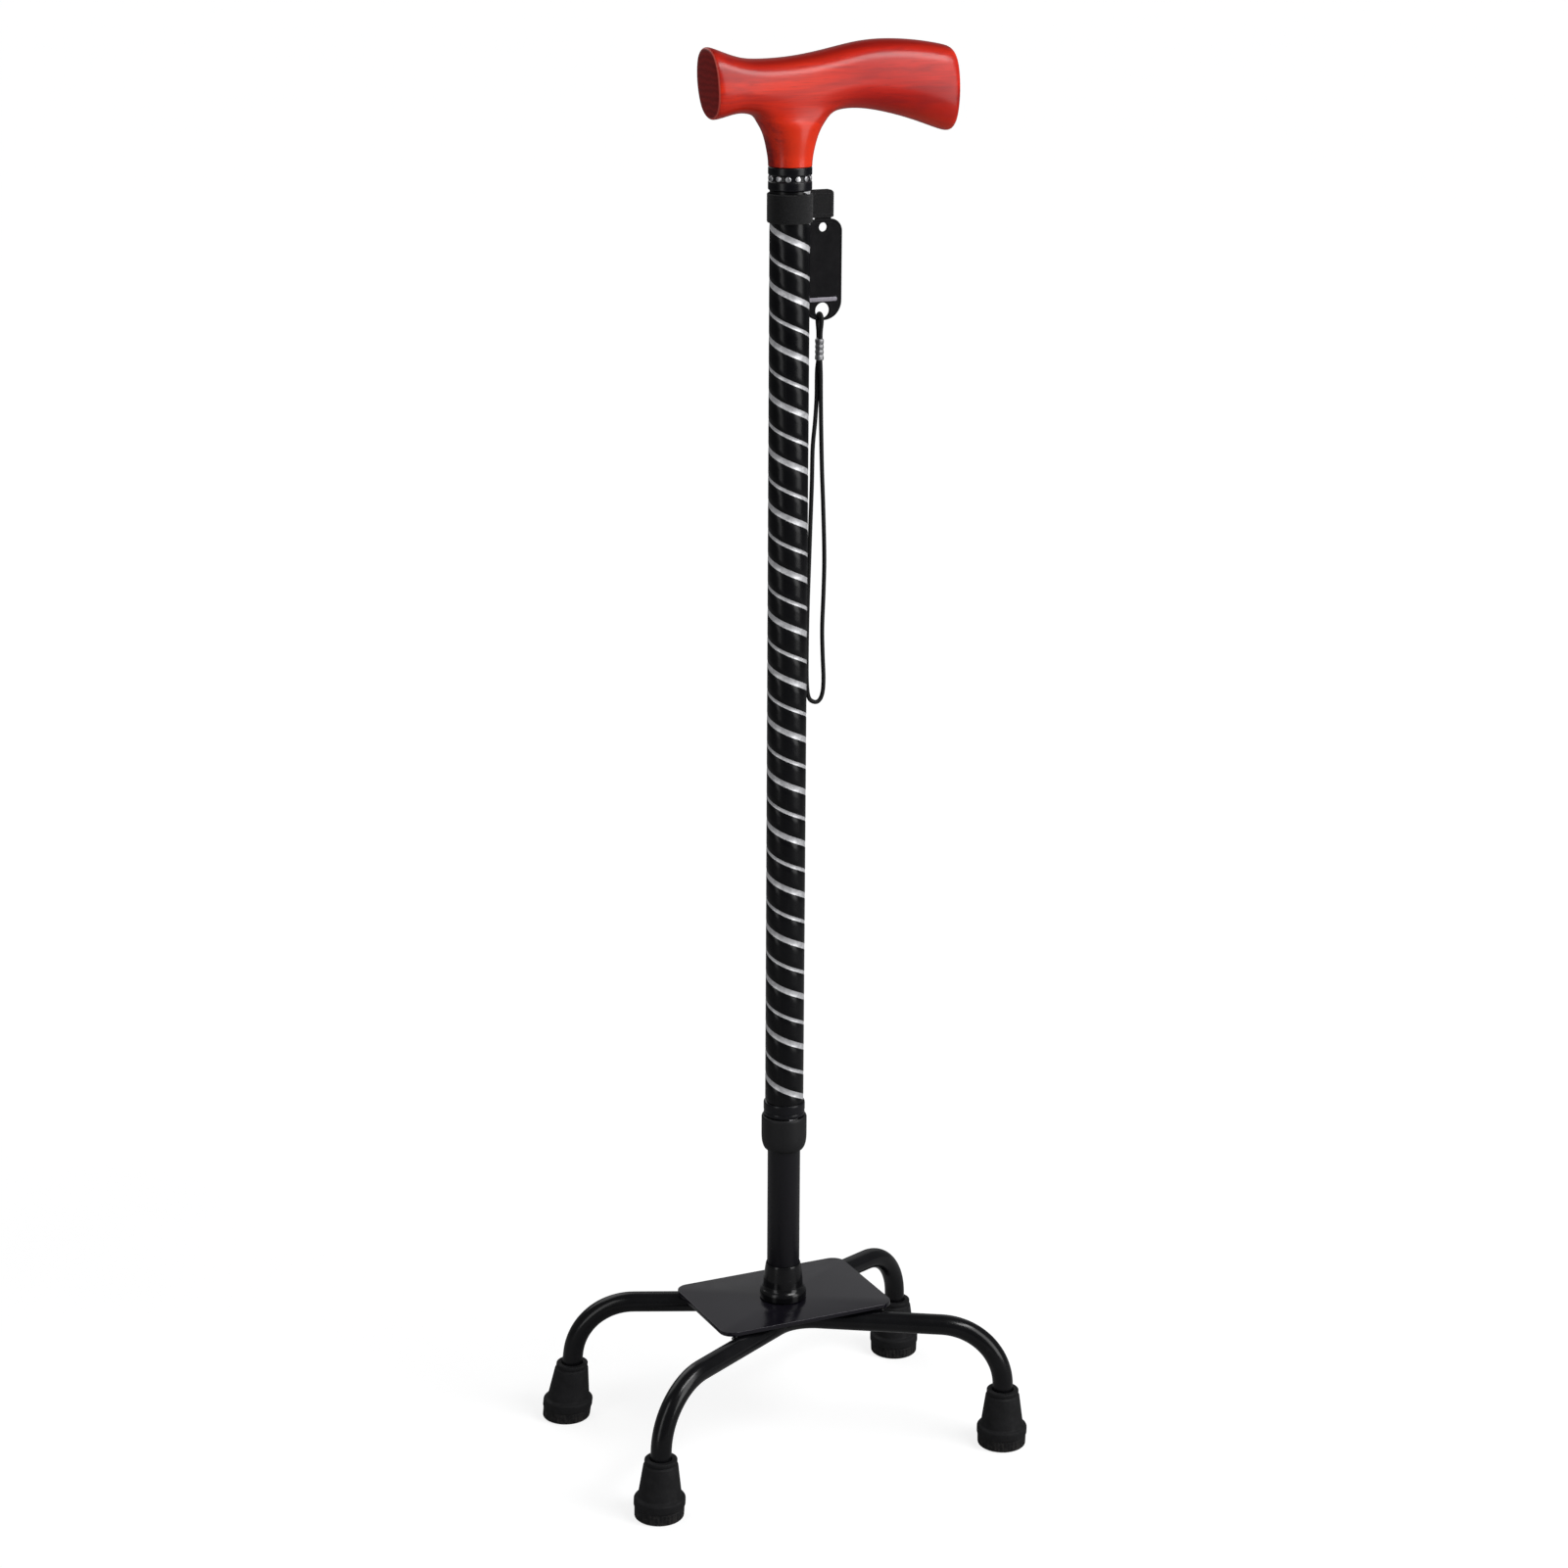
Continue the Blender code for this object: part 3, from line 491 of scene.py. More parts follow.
def bake(piece):
    """Apply the modifiers."""
    graph = bpy.context.evaluated_depsgraph_get()
    piece.data = bpy.data.meshes.new_from_object(piece.evaluated_get(graph))
    piece.modifiers.clear()


def carve(piece, mesh, sharp=40):
    """Subtract a closed mesh from a piece."""
    cutter = add_object("cutter", mesh)
    modifier = piece.modifiers.new("cut", "BOOLEAN")
    modifier.operation = "DIFFERENCE"
    modifier.solver = "EXACT"
    modifier.object = cutter
    bake(piece)
    bpy.data.objects.remove(cutter, do_unlink=True)
    piece.data.shade_smooth()
    piece.data.set_sharp_from_angle(angle=radians(sharp))


def piece_of(name, mesh, body, paints, replaces=None):
    """A finished piece on its body, in place of one of the model's if replaces is given. paints are keys of
    MATERIALS, in the order of the faces' material numbers."""
    piece = add_object(name, mesh)
    mesh.name = name
    for key in ([paints] if isinstance(paints, str) else paints):
        mesh.materials.append(MATERIALS[key])
    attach(piece, body)
    if replaces:
        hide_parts(replaces)
    return piece


def circle(radius, count, phase=0):
    """Points anticlockwise round the origin; phase is the share of a step to start at."""
    turn = [tau * (k + phase) / count for k in range(count)]
    return [(radius * cos(a), radius * sin(a)) for a in turn]


def rounded_rectangle(width, depth, radii, steps, centre):
    """Points anticlockwise from the +X, +Y corner; radii go in that order."""
    points = []
    for corner, radius in enumerate(radii):
        sx = (1, -1, -1, 1)[corner]
        sy = (1, 1, -1, -1)[corner]
        cx = centre[0] + sx * (width / 2 - radius)
        cy = centre[1] + sy * (depth / 2 - radius)
        for i in range(steps + 1):
            a = pi / 2 * (corner + i / steps)
            points.append((cx + radius * cos(a), cy + radius * sin(a)))
    return points


def frames_along(points):
    """Each point of a line with two crossing directions square to the line, with no twist."""
    tangents = []
    last = len(points) - 1
    for i in range(last + 1):
        tangents.append((points[min(i + 1, last)] - points[max(i - 1, 0)]).normalized())
    normal = tangents[0].orthogonal().normalized()
    result = []
    for i, tangent in enumerate(tangents):
        if i:
            normal = tangents[i - 1].rotation_difference(tangent) @ normal
        result.append((points[i], normal.copy(), tangent.cross(normal)))
    return result


def smooth_curve(route, spacing):
    """Points at an even spacing along a Catmull-Rom curve through the route."""
    knots = [Vector(p) for p in route]
    knots = [2 * knots[0] - knots[1]] + knots + [2 * knots[-1] - knots[-2]]
    fine = []
    steps = 24
    for a, b, c, d in zip(knots, knots[1:], knots[2:], knots[3:]):
        for i in range(steps):
            t = i / steps
            fine.append(0.5 * (2 * b + (c - a) * t + (2 * a - 5 * b + 4 * c - d) * t * t
                               + (3 * b - a - 3 * c + d) * t ** 3))
    fine.append(knots[-2])
    lengths = [0]
    for p, q in zip(fine, fine[1:]):
        lengths.append(lengths[-1] + (q - p).length)
    count = max(2, round(lengths[-1] / spacing))
    result = []
    k = 0
    for i in range(count + 1):
        target = lengths[-1] * i / count
        while k < len(fine) - 2 and lengths[k + 1] < target:
            k += 1
        share = (target - lengths[k]) / (lengths[k + 1] - lengths[k])
        result.append(fine[k].lerp(fine[k + 1], share))
    return result


# Cords

CORD_X, CORD_Y = 23.2 * MM, 9.8 * MM
CORD_R = 1.2 * MM
CRIMP_BOTTOM, CRIMP_TOP = 639.2 * MM, 651 * MM
# Where the cords run, in millimetres: X and Y from the crimp's middle, Z above the floor
BIGHT_HALF = [
    (0, -1.3, 651.3), (0, -1.3, 653.6), (0, -1.6, 656.1), (0, -2.2, 658.6), (0, -2.6, 660.9),
    (0, -2.5, 662.9), (0, -1.45, 664.4),
]
BIGHT_TOP = (0, 0, 664.9)
WRIST_LOOP = [
    (0, 1.3, 638.9), (-0.7, 1.1, 634), (-0.9, 1, 628), (-0.95, 1, 618), (-1.7, 1.1, 605),
    (-2.9, 1.4, 590), (-3.2, 1.5, 570), (-3.9, 1.6, 545), (-4.6, 1.5, 522), (-5.3, 1.4, 498),
    (-5.7, 1.2, 472), (-5.5, 1.1, 455), (-4.3, 0.9, 446.6), (-1.2, 0.6, 443.8), (1.8, 0.4, 444.3),
    (3.8, 0.1, 448.5), (4.4, 0, 457), (3.6, -0.2, 472), (3.2, -0.2, 487), (3.8, -0.3, 508),
    (4, -0.4, 528), (3.1, -0.4, 555), (2, -0.5, 578), (1.3, -0.7, 597), (0.75, -0.9, 616),
    (0.5, -1.05, 629), (0.2, -1.25, 635), (0, -1.3, 638.9),
]


def braided_cord(name, route, replaces):
    """A round braid along the route; its strands wind both ways."""
    ring_gap = 0.36 * MM
    path = smooth_curve([(CORD_X + x * MM, CORD_Y + y * MM, z * MM) for x, y, z in route], ring_gap)
    sides, strands, lay = 16, 4, 5.2 * MM
    valley, ridge = 0.97, 0.09
    rings = []
    travelled = 0
    for i, (centre, across, up) in enumerate(frames_along(path)):
        if i:
            travelled += (path[i] - path[i - 1]).length
        ring = []
        for k in range(sides):
            a = tau * k / sides
            twist = tau * travelled / lay
            relief = abs(sin(strands / 2 * (a + twist)) * sin(strands / 2 * (a - twist)))
            radius = CORD_R * (valley + ridge * relief ** 0.6)
            ring.append(centre + radius * (across * cos(a) + up * sin(a)))
        rings.append(ring)
    piece = piece_of(name, skin(rings, sharp=75), "upper_shaft", "cord", replaces)


def build_crimp():
    """A flattened metal sleeve with three pressed grooves and rounded ends."""
    width, depth, corner = 4.2 * MM, 4.9 * MM, 1.5 * MM
    groove, groove_width, grooves_at = 0.28 * MM, 0.8 * MM, (0.26, 0.5, 0.74)
    lip_depth, lip_height = 0.35 * MM, 0.5 * MM
    height = CRIMP_TOP - CRIMP_BOTTOM
    levels = 56
    rings = []
    for i in range(levels + 1):
        share = i / levels
        edge = min(share, 1 - share) * height
        pinch = groove * sum(exp(-((share - at) * height / groove_width) ** 2) for at in grooves_at)
        lip = lip_depth * max(0, 1 - edge / lip_height) ** 2
        inset = 2 * (pinch + lip)
        ring = rounded_rectangle(width - inset, depth - inset, [corner - inset / 2] * 4, 8, (CORD_X, CORD_Y))
        rings.append([(x, y, CRIMP_BOTTOM + height * share) for x, y in ring])
    return piece_of("cord_crimp_sleeve", skin(rings), "upper_shaft", "crimp", "cord_crimp")


def build_cords():
    crimp = build_crimp()
    braided_cord("wrist_loop_cord", WRIST_LOOP, "wrist_cord")
    mirrored = [(x, -y, z) for x, y, z in BIGHT_HALF[::-1]]
    braided_cord("tag_bight_cord", BIGHT_HALF + [BIGHT_TOP] + mirrored, "cord_bight")


# Base

FOOT_X, FOOT_Y = 110.3 * MM, 70.6 * MM
LEG_R, LEG_WALL = 6 * MM, 1.2 * MM
LEG_VERTEX_Y = 12.5 * MM
# Each leg's lean from upright, the height of the tube's middle over its bend and the radius of the bend
LEG_SHAPE = {
    (-1, -1): (radians(3), 75.8 * MM, 38 * MM),
    (-1, 1): (radians(6.5), 75.2 * MM, 38 * MM),
    (1, -1): (0, 75.2 * MM, 38 * MM),
    (1, 1): (0, 72 * MM, 33 * MM),
}
LEG_RUN_Z, LEG_END_Z = 77.4 * MM, 12.8 * MM
LEG_SOFT = 14 * MM          # from the middle to the start of the shallow bend
PLATE_TOP, PLATE_T = 86.2 * MM, 2.5 * MM
PLATE_X, PLATE_Y, PLATE_CENTRE = 109.3 * MM, 74.6 * MM, (1.15 * MM, 1.5 * MM)
SOCKET_GAP = 0.3            # millimetres between the plate and what stands on it


def leg_run(side_x, side_y):
    """A foot's centre on the floor, and the level direction and distance from it to the tube's middle."""
    foot = Vector((side_x * FOOT_X, side_y * FOOT_Y, 0))
    run = Vector((0, side_y * LEG_VERTEX_Y, 0)) - foot
    return foot, run.normalized(), run.length


def build_feet():
    profile = [
        (0, 1.1), (2.4, 1.1), (2.8, 0), (4.8, 0), (5.2, 1.1), (6.8, 1.1), (7.2, 0), (9.2, 0),
        (9.6, 1.1), (10.8, 1.1), (11.2, 0), (13, 0), (14.15, 0.9), (14.3, 6.1), (14, 6.5),
        (14, 7.2), (14.75, 7.6), (14.75, 11.6), (14.2, 12.4), (12.5, 13.2), (9.95, 31.6), (9.05, 32.3),
        (9.05, 32.7), (9.4, 33.2), (9.4, 34.8), (9, 35.2), (6.3, 35.2), (6.3, 9.8), (0, 9.8),
    ]
    flutes, flute_depth = 40, 0.35 * MM
    skirt_low, skirt_high, skirt_r = 0.3 * MM, 6.3 * MM, 13.2 * MM

    def fluted(radius, height, angle):
        on_skirt = skirt_low < height < skirt_high and radius > skirt_r
        return radius - flute_depth * abs(sin(flutes / 2 * angle)) ** 3 if on_skirt else radius

    mesh = turned(profile, 0.45, 3, flutes * 6, closed=False, ripple=fluted)
    for side, sx in SIDES:
        for end, sy in ENDS:
            spot, run, _ = leg_run(sx, sy)
            tilt = run * tan(LEG_SHAPE[sx, sy][0])
            leaning = mesh.copy()
            for vertex in leaning.vertices:
                vertex.co += tilt * vertex.co.z
            name = side + "_" + end
            foot = piece_of("foot_" + name, leaning, "base", "rubber", "rubber_foot_" + name)
            foot.location = spot


def leg_half(side_x, side_y):
    """Centreline of a bent tube from one foot, over its bend, to the shallow bend by the shaft."""
    foot, run, length = leg_run(side_x, side_y)
    lean, bend_z, bend_r = LEG_SHAPE[side_x, side_y]
    centre_z = bend_z - bend_r
    start_z = centre_z + bend_r * sin(lean)
    centre_along = start_z * tan(lean) + bend_r * cos(lean)
    rise = atan2(LEG_RUN_Z - bend_z, length - LEG_SOFT - centre_along)
    half = [foot + run * LEG_END_Z * tan(lean) + Vector((0, 0, LEG_END_Z))]
    bend_steps = 24
    for i in range(bend_steps + 1):
        a = lean + (pi / 2 - rise - lean) * i / bend_steps
        along = centre_along - bend_r * cos(a)
        half.append(foot + run * along + Vector((0, 0, centre_z + bend_r * sin(a))))
    half.append(foot + run * (length - LEG_SOFT) + Vector((0, 0, LEG_RUN_Z)))
    return half


def leg_line(side_y):
    """Centreline of a bent tube from the right foot to the left foot, past the shaft."""
    right, left = leg_half(1, side_y), leg_half(-1, side_y)
    vertex = Vector((0, side_y * LEG_VERTEX_Y, LEG_RUN_Z))
    return right[:-1] + parabola(right[-1], vertex, left[-1], 8) + left[-2::-1]


def build_legs():
    section = circle(1, 40)
    for name, side in ENDS:
        frames = frames_along(leg_line(side))
        rings = []
        for radius, order in ((LEG_R, 1), (LEG_R - LEG_WALL, -1)):
            for centre, across, up in frames[::order]:
                rings.append([centre + radius * (across * u + up * v) for u, v in section])
        tube = skin(rings, closed=True)
        piece_of(name + "_bent_leg", tube, "base", "legs", name + "_leg_tube")


def build_plate():
    """The plate with a hole for the bolt and a small bevel round both edges."""
    corner, bevel, hole_r = 8 * MM, 0.25 * MM, 2.9 * MM
    corner_steps, bevel_steps = 12, 4
    bottom = PLATE_TOP - PLATE_T
    lower, upper = [], []
    for k in range(bevel_steps + 1):
        a = pi / 2 * k / bevel_steps
        inset, drop = bevel * (1 - cos(a)), bevel * (1 - sin(a))
        lower.append((inset, bottom + drop))
        upper.append((inset, PLATE_TOP - drop))
    hole = circle(hole_r, 4 * (corner_steps + 1), 0.5)
    rings = [[(x, y, bottom) for x, y in hole]]
    for inset, z in lower[::-1] + upper:
        outline = rounded_rectangle(PLATE_X - 2 * inset, PLATE_Y - 2 * inset, [corner - inset] * 4,
                                    corner_steps, PLATE_CENTRE)
        rings.append([(x, y, z) for x, y in outline])
    rings.append([(x, y, PLATE_TOP) for x, y in hole])
    piece_of("top_plate", skin(rings, closed=True), "base", "plate", "base_plate")


def build_socket():
    foot = PLATE_TOP / MM + SOCKET_GAP
    profile = [
        (13.3, 0), (13.7, 0.5), (13.7, 3.9), (13.2, 5.3), (12.2, 6.3), (11.7, 8), (11.5, 12),
        (10.9, 16.5), (10.3, 20.6), (10, 21.6), (9.9, 21.6), (9.9, 0),
    ]
    socket = turned([(radius, foot + height) for radius, height in profile], 0.5, 4)
    piece_of("shaft_socket", socket, "base", "legs", "tube_socket")


def build_bolt():
    profile = [
        (0, 78.9), (3.5, 78.9), (4.6, 79.6), (5, 80.8), (5, 82.1), (2.5, 82.1), (2.5, 108), (0, 108),
    ]
    mesh = turned(profile, 0.4, 3, 48, closed=False)
    bolt = piece_of("base_bolt_head", mesh, "base", "steel", "base_bolt")
    key = circle(1.9 * MM, 6)
    carve(bolt, skin([[(x, y, z) for x, y in key] for z in (77.7 * MM, 80.9 * MM)]))


def build_welds():
    """Short rippled beads that join each leg tube to the underside of the plate."""
    rings_per_bead = 40
    top = PLATE_TOP - PLATE_T
    # millimetres: a bead's start along the tube, its length, its place beside the tube and its half width
    start, length, beside, half_width = 8, 32, 3, 1.5
    toe = 4.7 * MM              # a bead's lower edge over the tube's middle
    for name, side in ENDS:
        for end, sx in SIDES:
            bend_end, run_end = leg_half(sx, side)[-2:]
            along = (bend_end - run_end).normalized()
            across = Vector((-along.y, along.x, 0)).normalized()
            rings = []
            for i in range(rings_per_bead + 1):
                share = i / rings_per_bead
                swell = max(0.15, sin(pi * share) ** 0.35 * (1 + 0.13 * sin(share * 60)))
                place = run_end + along * (start + length * share) * MM
                middle = (place.z + toe + top) / 2
                tall = (top - place.z - toe) / 2 + 0.15 * MM
                ring = []
                for k in range(10):
                    a = tau * k / 10
                    aside = -across * side * sx * (beside + half_width * swell * cos(a)) * MM
                    ring.append(Vector((place.x, place.y, middle + tall * swell * sin(a))) + aside)
                rings.append(ring)
            piece_of("weld_" + name + "_" + end, skin(rings), "base", "legs")


# Shaft

LOWER_R, LOWER_BORE, LOWER_TOP = 9.5 * MM, 8.3 * MM, 400 * MM
UPPER_R, UPPER_BORE = 11.1 * MM, 9.9 * MM
UPPER_BOTTOM, UPPER_TOP = 191.8 * MM, 734.6 * MM
BUTTON_Z, BUTTON_PITCH = 335 * MM, 25.4 * MM
SPIRAL_PITCH_MM = 30.62
SPIRAL_PITCH = SPIRAL_PITCH_MM * MM
SPIRAL_START_Z = 709.3 * MM
SPIRAL_START_ANGLE = radians(-115.35)


def hole_cutter(heights):
    """Rods along +Y, one at each height, that reach through the back wall of a tube."""
    hole_r, rod_middle_y, rod_length = 4.2 * MM, 11 * MM, 12 * MM
    bm = bmesh.new()
    for z in heights:
        place = Matrix.Translation((0, rod_middle_y, z)) @ Matrix.Rotation(-pi / 2, 4, "X")
        bmesh.ops.create_cone(bm, cap_ends=True, segments=40, radius1=hole_r, radius2=hole_r,
                              depth=rod_length, matrix=place)
    return mesh_of(bm)


def build_lower_tube():
    bottom = PLATE_TOP + SOCKET_GAP * MM
    profile = [(LOWER_R, bottom), (LOWER_R, LOWER_TOP), (LOWER_BORE, LOWER_TOP), (LOWER_BORE, bottom)]
    tube = piece_of("lower_shaft", lathe(soften(profile, 0.3 * MM, 2)), "base",
                    "lower_shaft", "lower_tube")
    carve(tube, hole_cutter([BUTTON_Z]))


def build_button():
    profile = [
        (0, 5.4), (4.6, 5.4), (4.6, 6.4), (3.8, 6.4), (3.8, 11.4), (3.45, 12.4), (2.6, 13), (1.4, 13.2),
        (0, 13.2),
    ]
    mesh = turned(profile, 0.35, 4, 64, closed=False)
    mesh.transform(Matrix.Translation((0, 0, BUTTON_Z)) @ Matrix.Rotation(-pi / 2, 4, "X"))
    piece_of("snap_button", mesh, "button", "steel", "push_button")


def build_upper_tube():
    """The lacquered tube with a broad and a fine engraved line that wind round it together."""
    columns = 72
    cut = 0.1 * MM
    # shares of the pitch: a cut's wall, half of each line's width, and the fine line's place
    wall = 0.16 / SPIRAL_PITCH_MM
    broad, fine, fine_at = 1.62 / SPIRAL_PITCH_MM, 0.92 / SPIRAL_PITCH_MM, 0.48
    rows = [
        (-broad - wall, 0), (-broad, cut), (broad, cut), (broad + wall, 0), (0.18, 0), (0.32, 0),
        (fine_at - fine - wall, 0), (fine_at - fine, cut), (fine_at + fine, cut), (fine_at + fine + wall, 0),
        (0.64, 0), (0.8, 0),
    ]
    cut_rows = (0, 1, 2, 6, 7, 8)
    per_turn = len(rows)
    turns = range(-19, 4)       # past both ends of the tube, where the rows are pressed flat
    bm = bmesh.new()
    grid = []
    angles = [SPIRAL_START_ANGLE + tau * i / columns for i in range(columns)]
    for i, angle in enumerate(angles):
        column = []
        for turn in turns:
            for share, depth in rows:
                z = SPIRAL_START_Z + SPIRAL_PITCH * (turn + share - i / columns)
                inside = UPPER_BOTTOM < z < UPPER_TOP
                radius = UPPER_R - (depth if inside else 0)
                z = min(max(z, UPPER_BOTTOM), UPPER_TOP)
                column.append(bm.verts.new((radius * cos(angle), radius * sin(angle), z)))
        grid.append(column)
    for i in range(columns):
        wraps = i == columns - 1
        for r in range(len(grid[0]) - 1):
            low, high = grid[i][r], grid[i][r + 1]
            if wraps and r < per_turn:
                continue
            other = grid[0] if wraps else grid[i + 1]
            back = per_turn if wraps else 0
            face = bm.faces.new((low, other[r - back], other[r + 1 - back], high))
            face.material_index = 1 if r % per_turn in cut_rows else 0
    loops = []
    for z, radii in ((UPPER_BOTTOM, (UPPER_R, UPPER_BORE)), (UPPER_TOP, (UPPER_BORE, UPPER_R))):
        for r in radii:
            loops.append([bm.verts.new((r * cos(a), r * sin(a), z)) for a in angles])
    for low, high in zip(loops, loops[1:]):
        join_loops(bm, low, high)
    bmesh.ops.remove_doubles(bm, verts=bm.verts, dist=1e-7)
    tube = piece_of("spiral_shaft", mesh_of(bm), "upper_shaft",
                    ["shaft", "spiral"], "upper_tube")
    carve(tube, hole_cutter([BUTTON_Z + BUTTON_PITCH * i for i in range(-4, 3)]))


def build_collar():
    bead = [
        (11.5, 201.3), (11.9, 201.8), (11.9, 203.4), (11.6, 204), (12, 204.6), (12, 208.8),
        (11.7, 209.6), (11.4, 209.6), (11.4, 201.3),
    ]
    ring = turned(bead, 0.3, 4)
    piece_of("collar_ring", ring, "upper_shaft", "ferrule", "collar_bead_ring")
    collar = [
        (10.3, 180), (11.3, 180.6), (12.2, 182.2), (12.8, 184.4), (13.1, 187), (13.15, 189.4),
        (13.15, 199.9), (12.7, 201), (11.4, 201), (11.4, 184.2), (9.9, 182.6), (9.9, 180),
    ]
    piece_of("grip_collar", turned(collar, 0.9, 5, 120), "collar", "collar", "lock_collar")


def build_ferrule():
    """The grooved ring under the handle, with domed studs in its groove."""
    profile = [
        (9.2, 702), (9.5, 703), (9.5, 734.9), (11.6, 734.9), (12, 735.4), (12, 739.4), (11.3, 740),
        (11.3, 742.8), (12, 743.4), (12, 747), (11.7, 747.5), (4.3, 747.5), (4.3, 702),
    ]
    ferrule = turned(profile, 0.35, 4)
    piece_of("neck_ferrule", ferrule, "upper_shaft", "ferrule", "handle_ferrule")
    studs, first_turn = 13, radians(-32.5)
    studs_z, studs_r = 741.4 * MM, 11.2 * MM
    stud = [(0, 0), (1.55, 0), (1.55, 0.4), (1.25, 0.66), (0, 0.76)]
    dome = turned(stud, 0.25, 3, 24, closed=False)
    bm = bmesh.new()
    for k in range(studs):
        angle = SPIRAL_START_ANGLE + first_turn + tau * k / studs
        lay = Matrix.Rotation(angle, 4, "Z") @ Matrix.Rotation(pi / 2, 4, "Y")
        placed = dome.copy()
        placed.transform(Matrix.Translation((0, 0, studs_z)) @ lay @ Matrix.Translation((0, 0, studs_r)))
        bm.from_mesh(placed)
    piece_of("ferrule_beads", mesh_of(bm), "upper_shaft", "bead")


# Handle

# Sections of the grip from the flat end to the palm end, in millimetres: place along X, top and bottom above
# the floor, half width, and how far the top leans along X
GRIP_SECTIONS = [
    (-49.2, 810.6, 774.6, 13.6, -1.7), (-48.2, 812.8, 773.4, 15.2, -1.5), (-41, 809.6, 774.8, 14.8, -0.6),
    (-31, 805.9, 777.4, 13.8, 0), (-21, 804.8, 775.4, 13.4, 0), (1.5, 805.6, 772.5, 13.4, 0),
    (23, 809.5, 776.2, 13.4, 0), (35.5, 812.3, 777.8, 13.4, 0), (51, 814.2, 776, 13.6, 0),
    (72, 813.2, 770.6, 14, 0), (89, 810.4, 764.2, 14.2, 0), (96, 808.6, 762.4, 13.6, 0),
    (97.3, 804.5, 766.8, 11.2, 0),
]
NECK_FIRST, NECK_LAST = 4, 6
# Levels down the neck, in millimetres: half length, half width, height and shift along X
NECK_LEVELS = [
    (19.8, 13.9, 771.6, 0.3), (15.6, 14.2, 766, 0.2), (13.2, 13, 757.5, 0), (12.1, 12, 751, 0),
    (12, 12, 747.8, 0),
]
NECK_ORDER = [radians(a) for a in (225, 180, 135, 90, 45, 0, 315, 270)]
# The share of the cage that smoothing keeps, at the neck and the grip, and how square the grip's cage is
ROUND_SHARE, FULL_SHARE, CORNER = 0.9024, 0.927, 0.78


def section_ring(section):
    x, top, bottom, half_width, lean = (value * MM for value in section)
    middle = (top + bottom) / 2
    height = (top - bottom) / 2 / FULL_SHARE
    width = half_width / FULL_SHARE
    around = [(1, 0), (CORNER, CORNER), (0, 1), (-CORNER, CORNER)]
    around += [(-a, -b) for a, b in around]
    return [(x + lean * b, width * a, middle + height * b) for a, b in around]


def neck_ring(level):
    half_length, half_width, z, centre_x = (value * MM for value in level)
    reach_x, reach_y = half_length / ROUND_SHARE, half_width / ROUND_SHARE
    return [(centre_x + reach_x * cos(a), reach_y * sin(a), z) for a in NECK_ORDER]


def build_handle():
    """A coarse cage for the grip and the neck, smoothed, then bored for the stud."""
    bm = bmesh.new()
    crease = bm.edges.layers.float.new("crease_edge")
    rings = [[bm.verts.new(p) for p in section_ring(s)] for s in GRIP_SECTIONS]
    bm.faces.new(rings[0])
    bm.faces.new(rings[-1])
    for i, (low, high) in enumerate(zip(rings, rings[1:])):
        for j in range(8):
            if not (NECK_FIRST <= i < NECK_LAST and j in (5, 6)):   # open under the neck
                bm.faces.new((low[j], low[(j + 1) % 8], high[(j + 1) % 8], high[j]))
    first, centre, last = rings[NECK_FIRST:NECK_LAST + 1]
    loop = [first[5], first[6], first[7], centre[7], last[7], last[6], last[5], centre[5]]
    bm.verts.remove(centre[6])
    for level in NECK_LEVELS:
        below = [bm.verts.new(point) for point in neck_ring(level)]
        join_loops(bm, loop, below)
        loop = below
    for edge in bm.faces.new(loop).edges:
        edge[crease] = 1.0
    handle = piece_of("wooden_handle", mesh_of(bm, 180), "upper_shaft", "wood", "handle")
    smooth = handle.modifiers.new("smooth", "SUBSURF")
    smooth.levels = smooth.render_levels = 4
    bake(handle)
    bore = circle(4.4 * MM, 32)
    carve(handle, skin([[(x, y, z * MM) for x, y in bore] for z in (740, 785)]), 50)


# Wrist strap

BAND_BOTTOM, BAND_TOP = 717.4 * MM, 733.2 * MM
TAB_END_X, TAB_Y = 31 * MM, 9.8 * MM
TAG_X, TAG_W = 24.6 * MM, 23.4 * MM
TAG_BOTTOM, TAG_TOP = 661.2 * MM, 716.8 * MM
TAG_HALF_T = 0.8 * MM


def band_line():
    """The strap's centreline: out along the tab, over its fold, back and round the tube."""
    lift = 1.33 * MM            # from the tab's middle to the middle of each layer
    ring_r = 12 * MM
    fold_x = TAB_END_X - lift - 0.5 * MM
    line = []
    for x, y in ((8.2, 11.62), (12.5, 11.28), (18, 11.15), (24, TAB_Y / MM + lift / MM)):
        line.append((x * MM, y * MM))
    for k in range(9):
        a = pi / 2 - pi * k / 8
        line.append((fold_x + lift * cos(a), TAB_Y + lift * sin(a)))
    for x, y in ((24, TAB_Y / MM - lift / MM), (18, 8.42), (14.2, 8), (11.9, 6.5)):
        line.append((x * MM, y * MM))
    for k in range(31):
        a = radians(14 - (14 + 281) * k / 30)
        line.append((ring_r * cos(a), ring_r * sin(a)))
    line.append((4.2 * MM, 11.75 * MM))
    return line


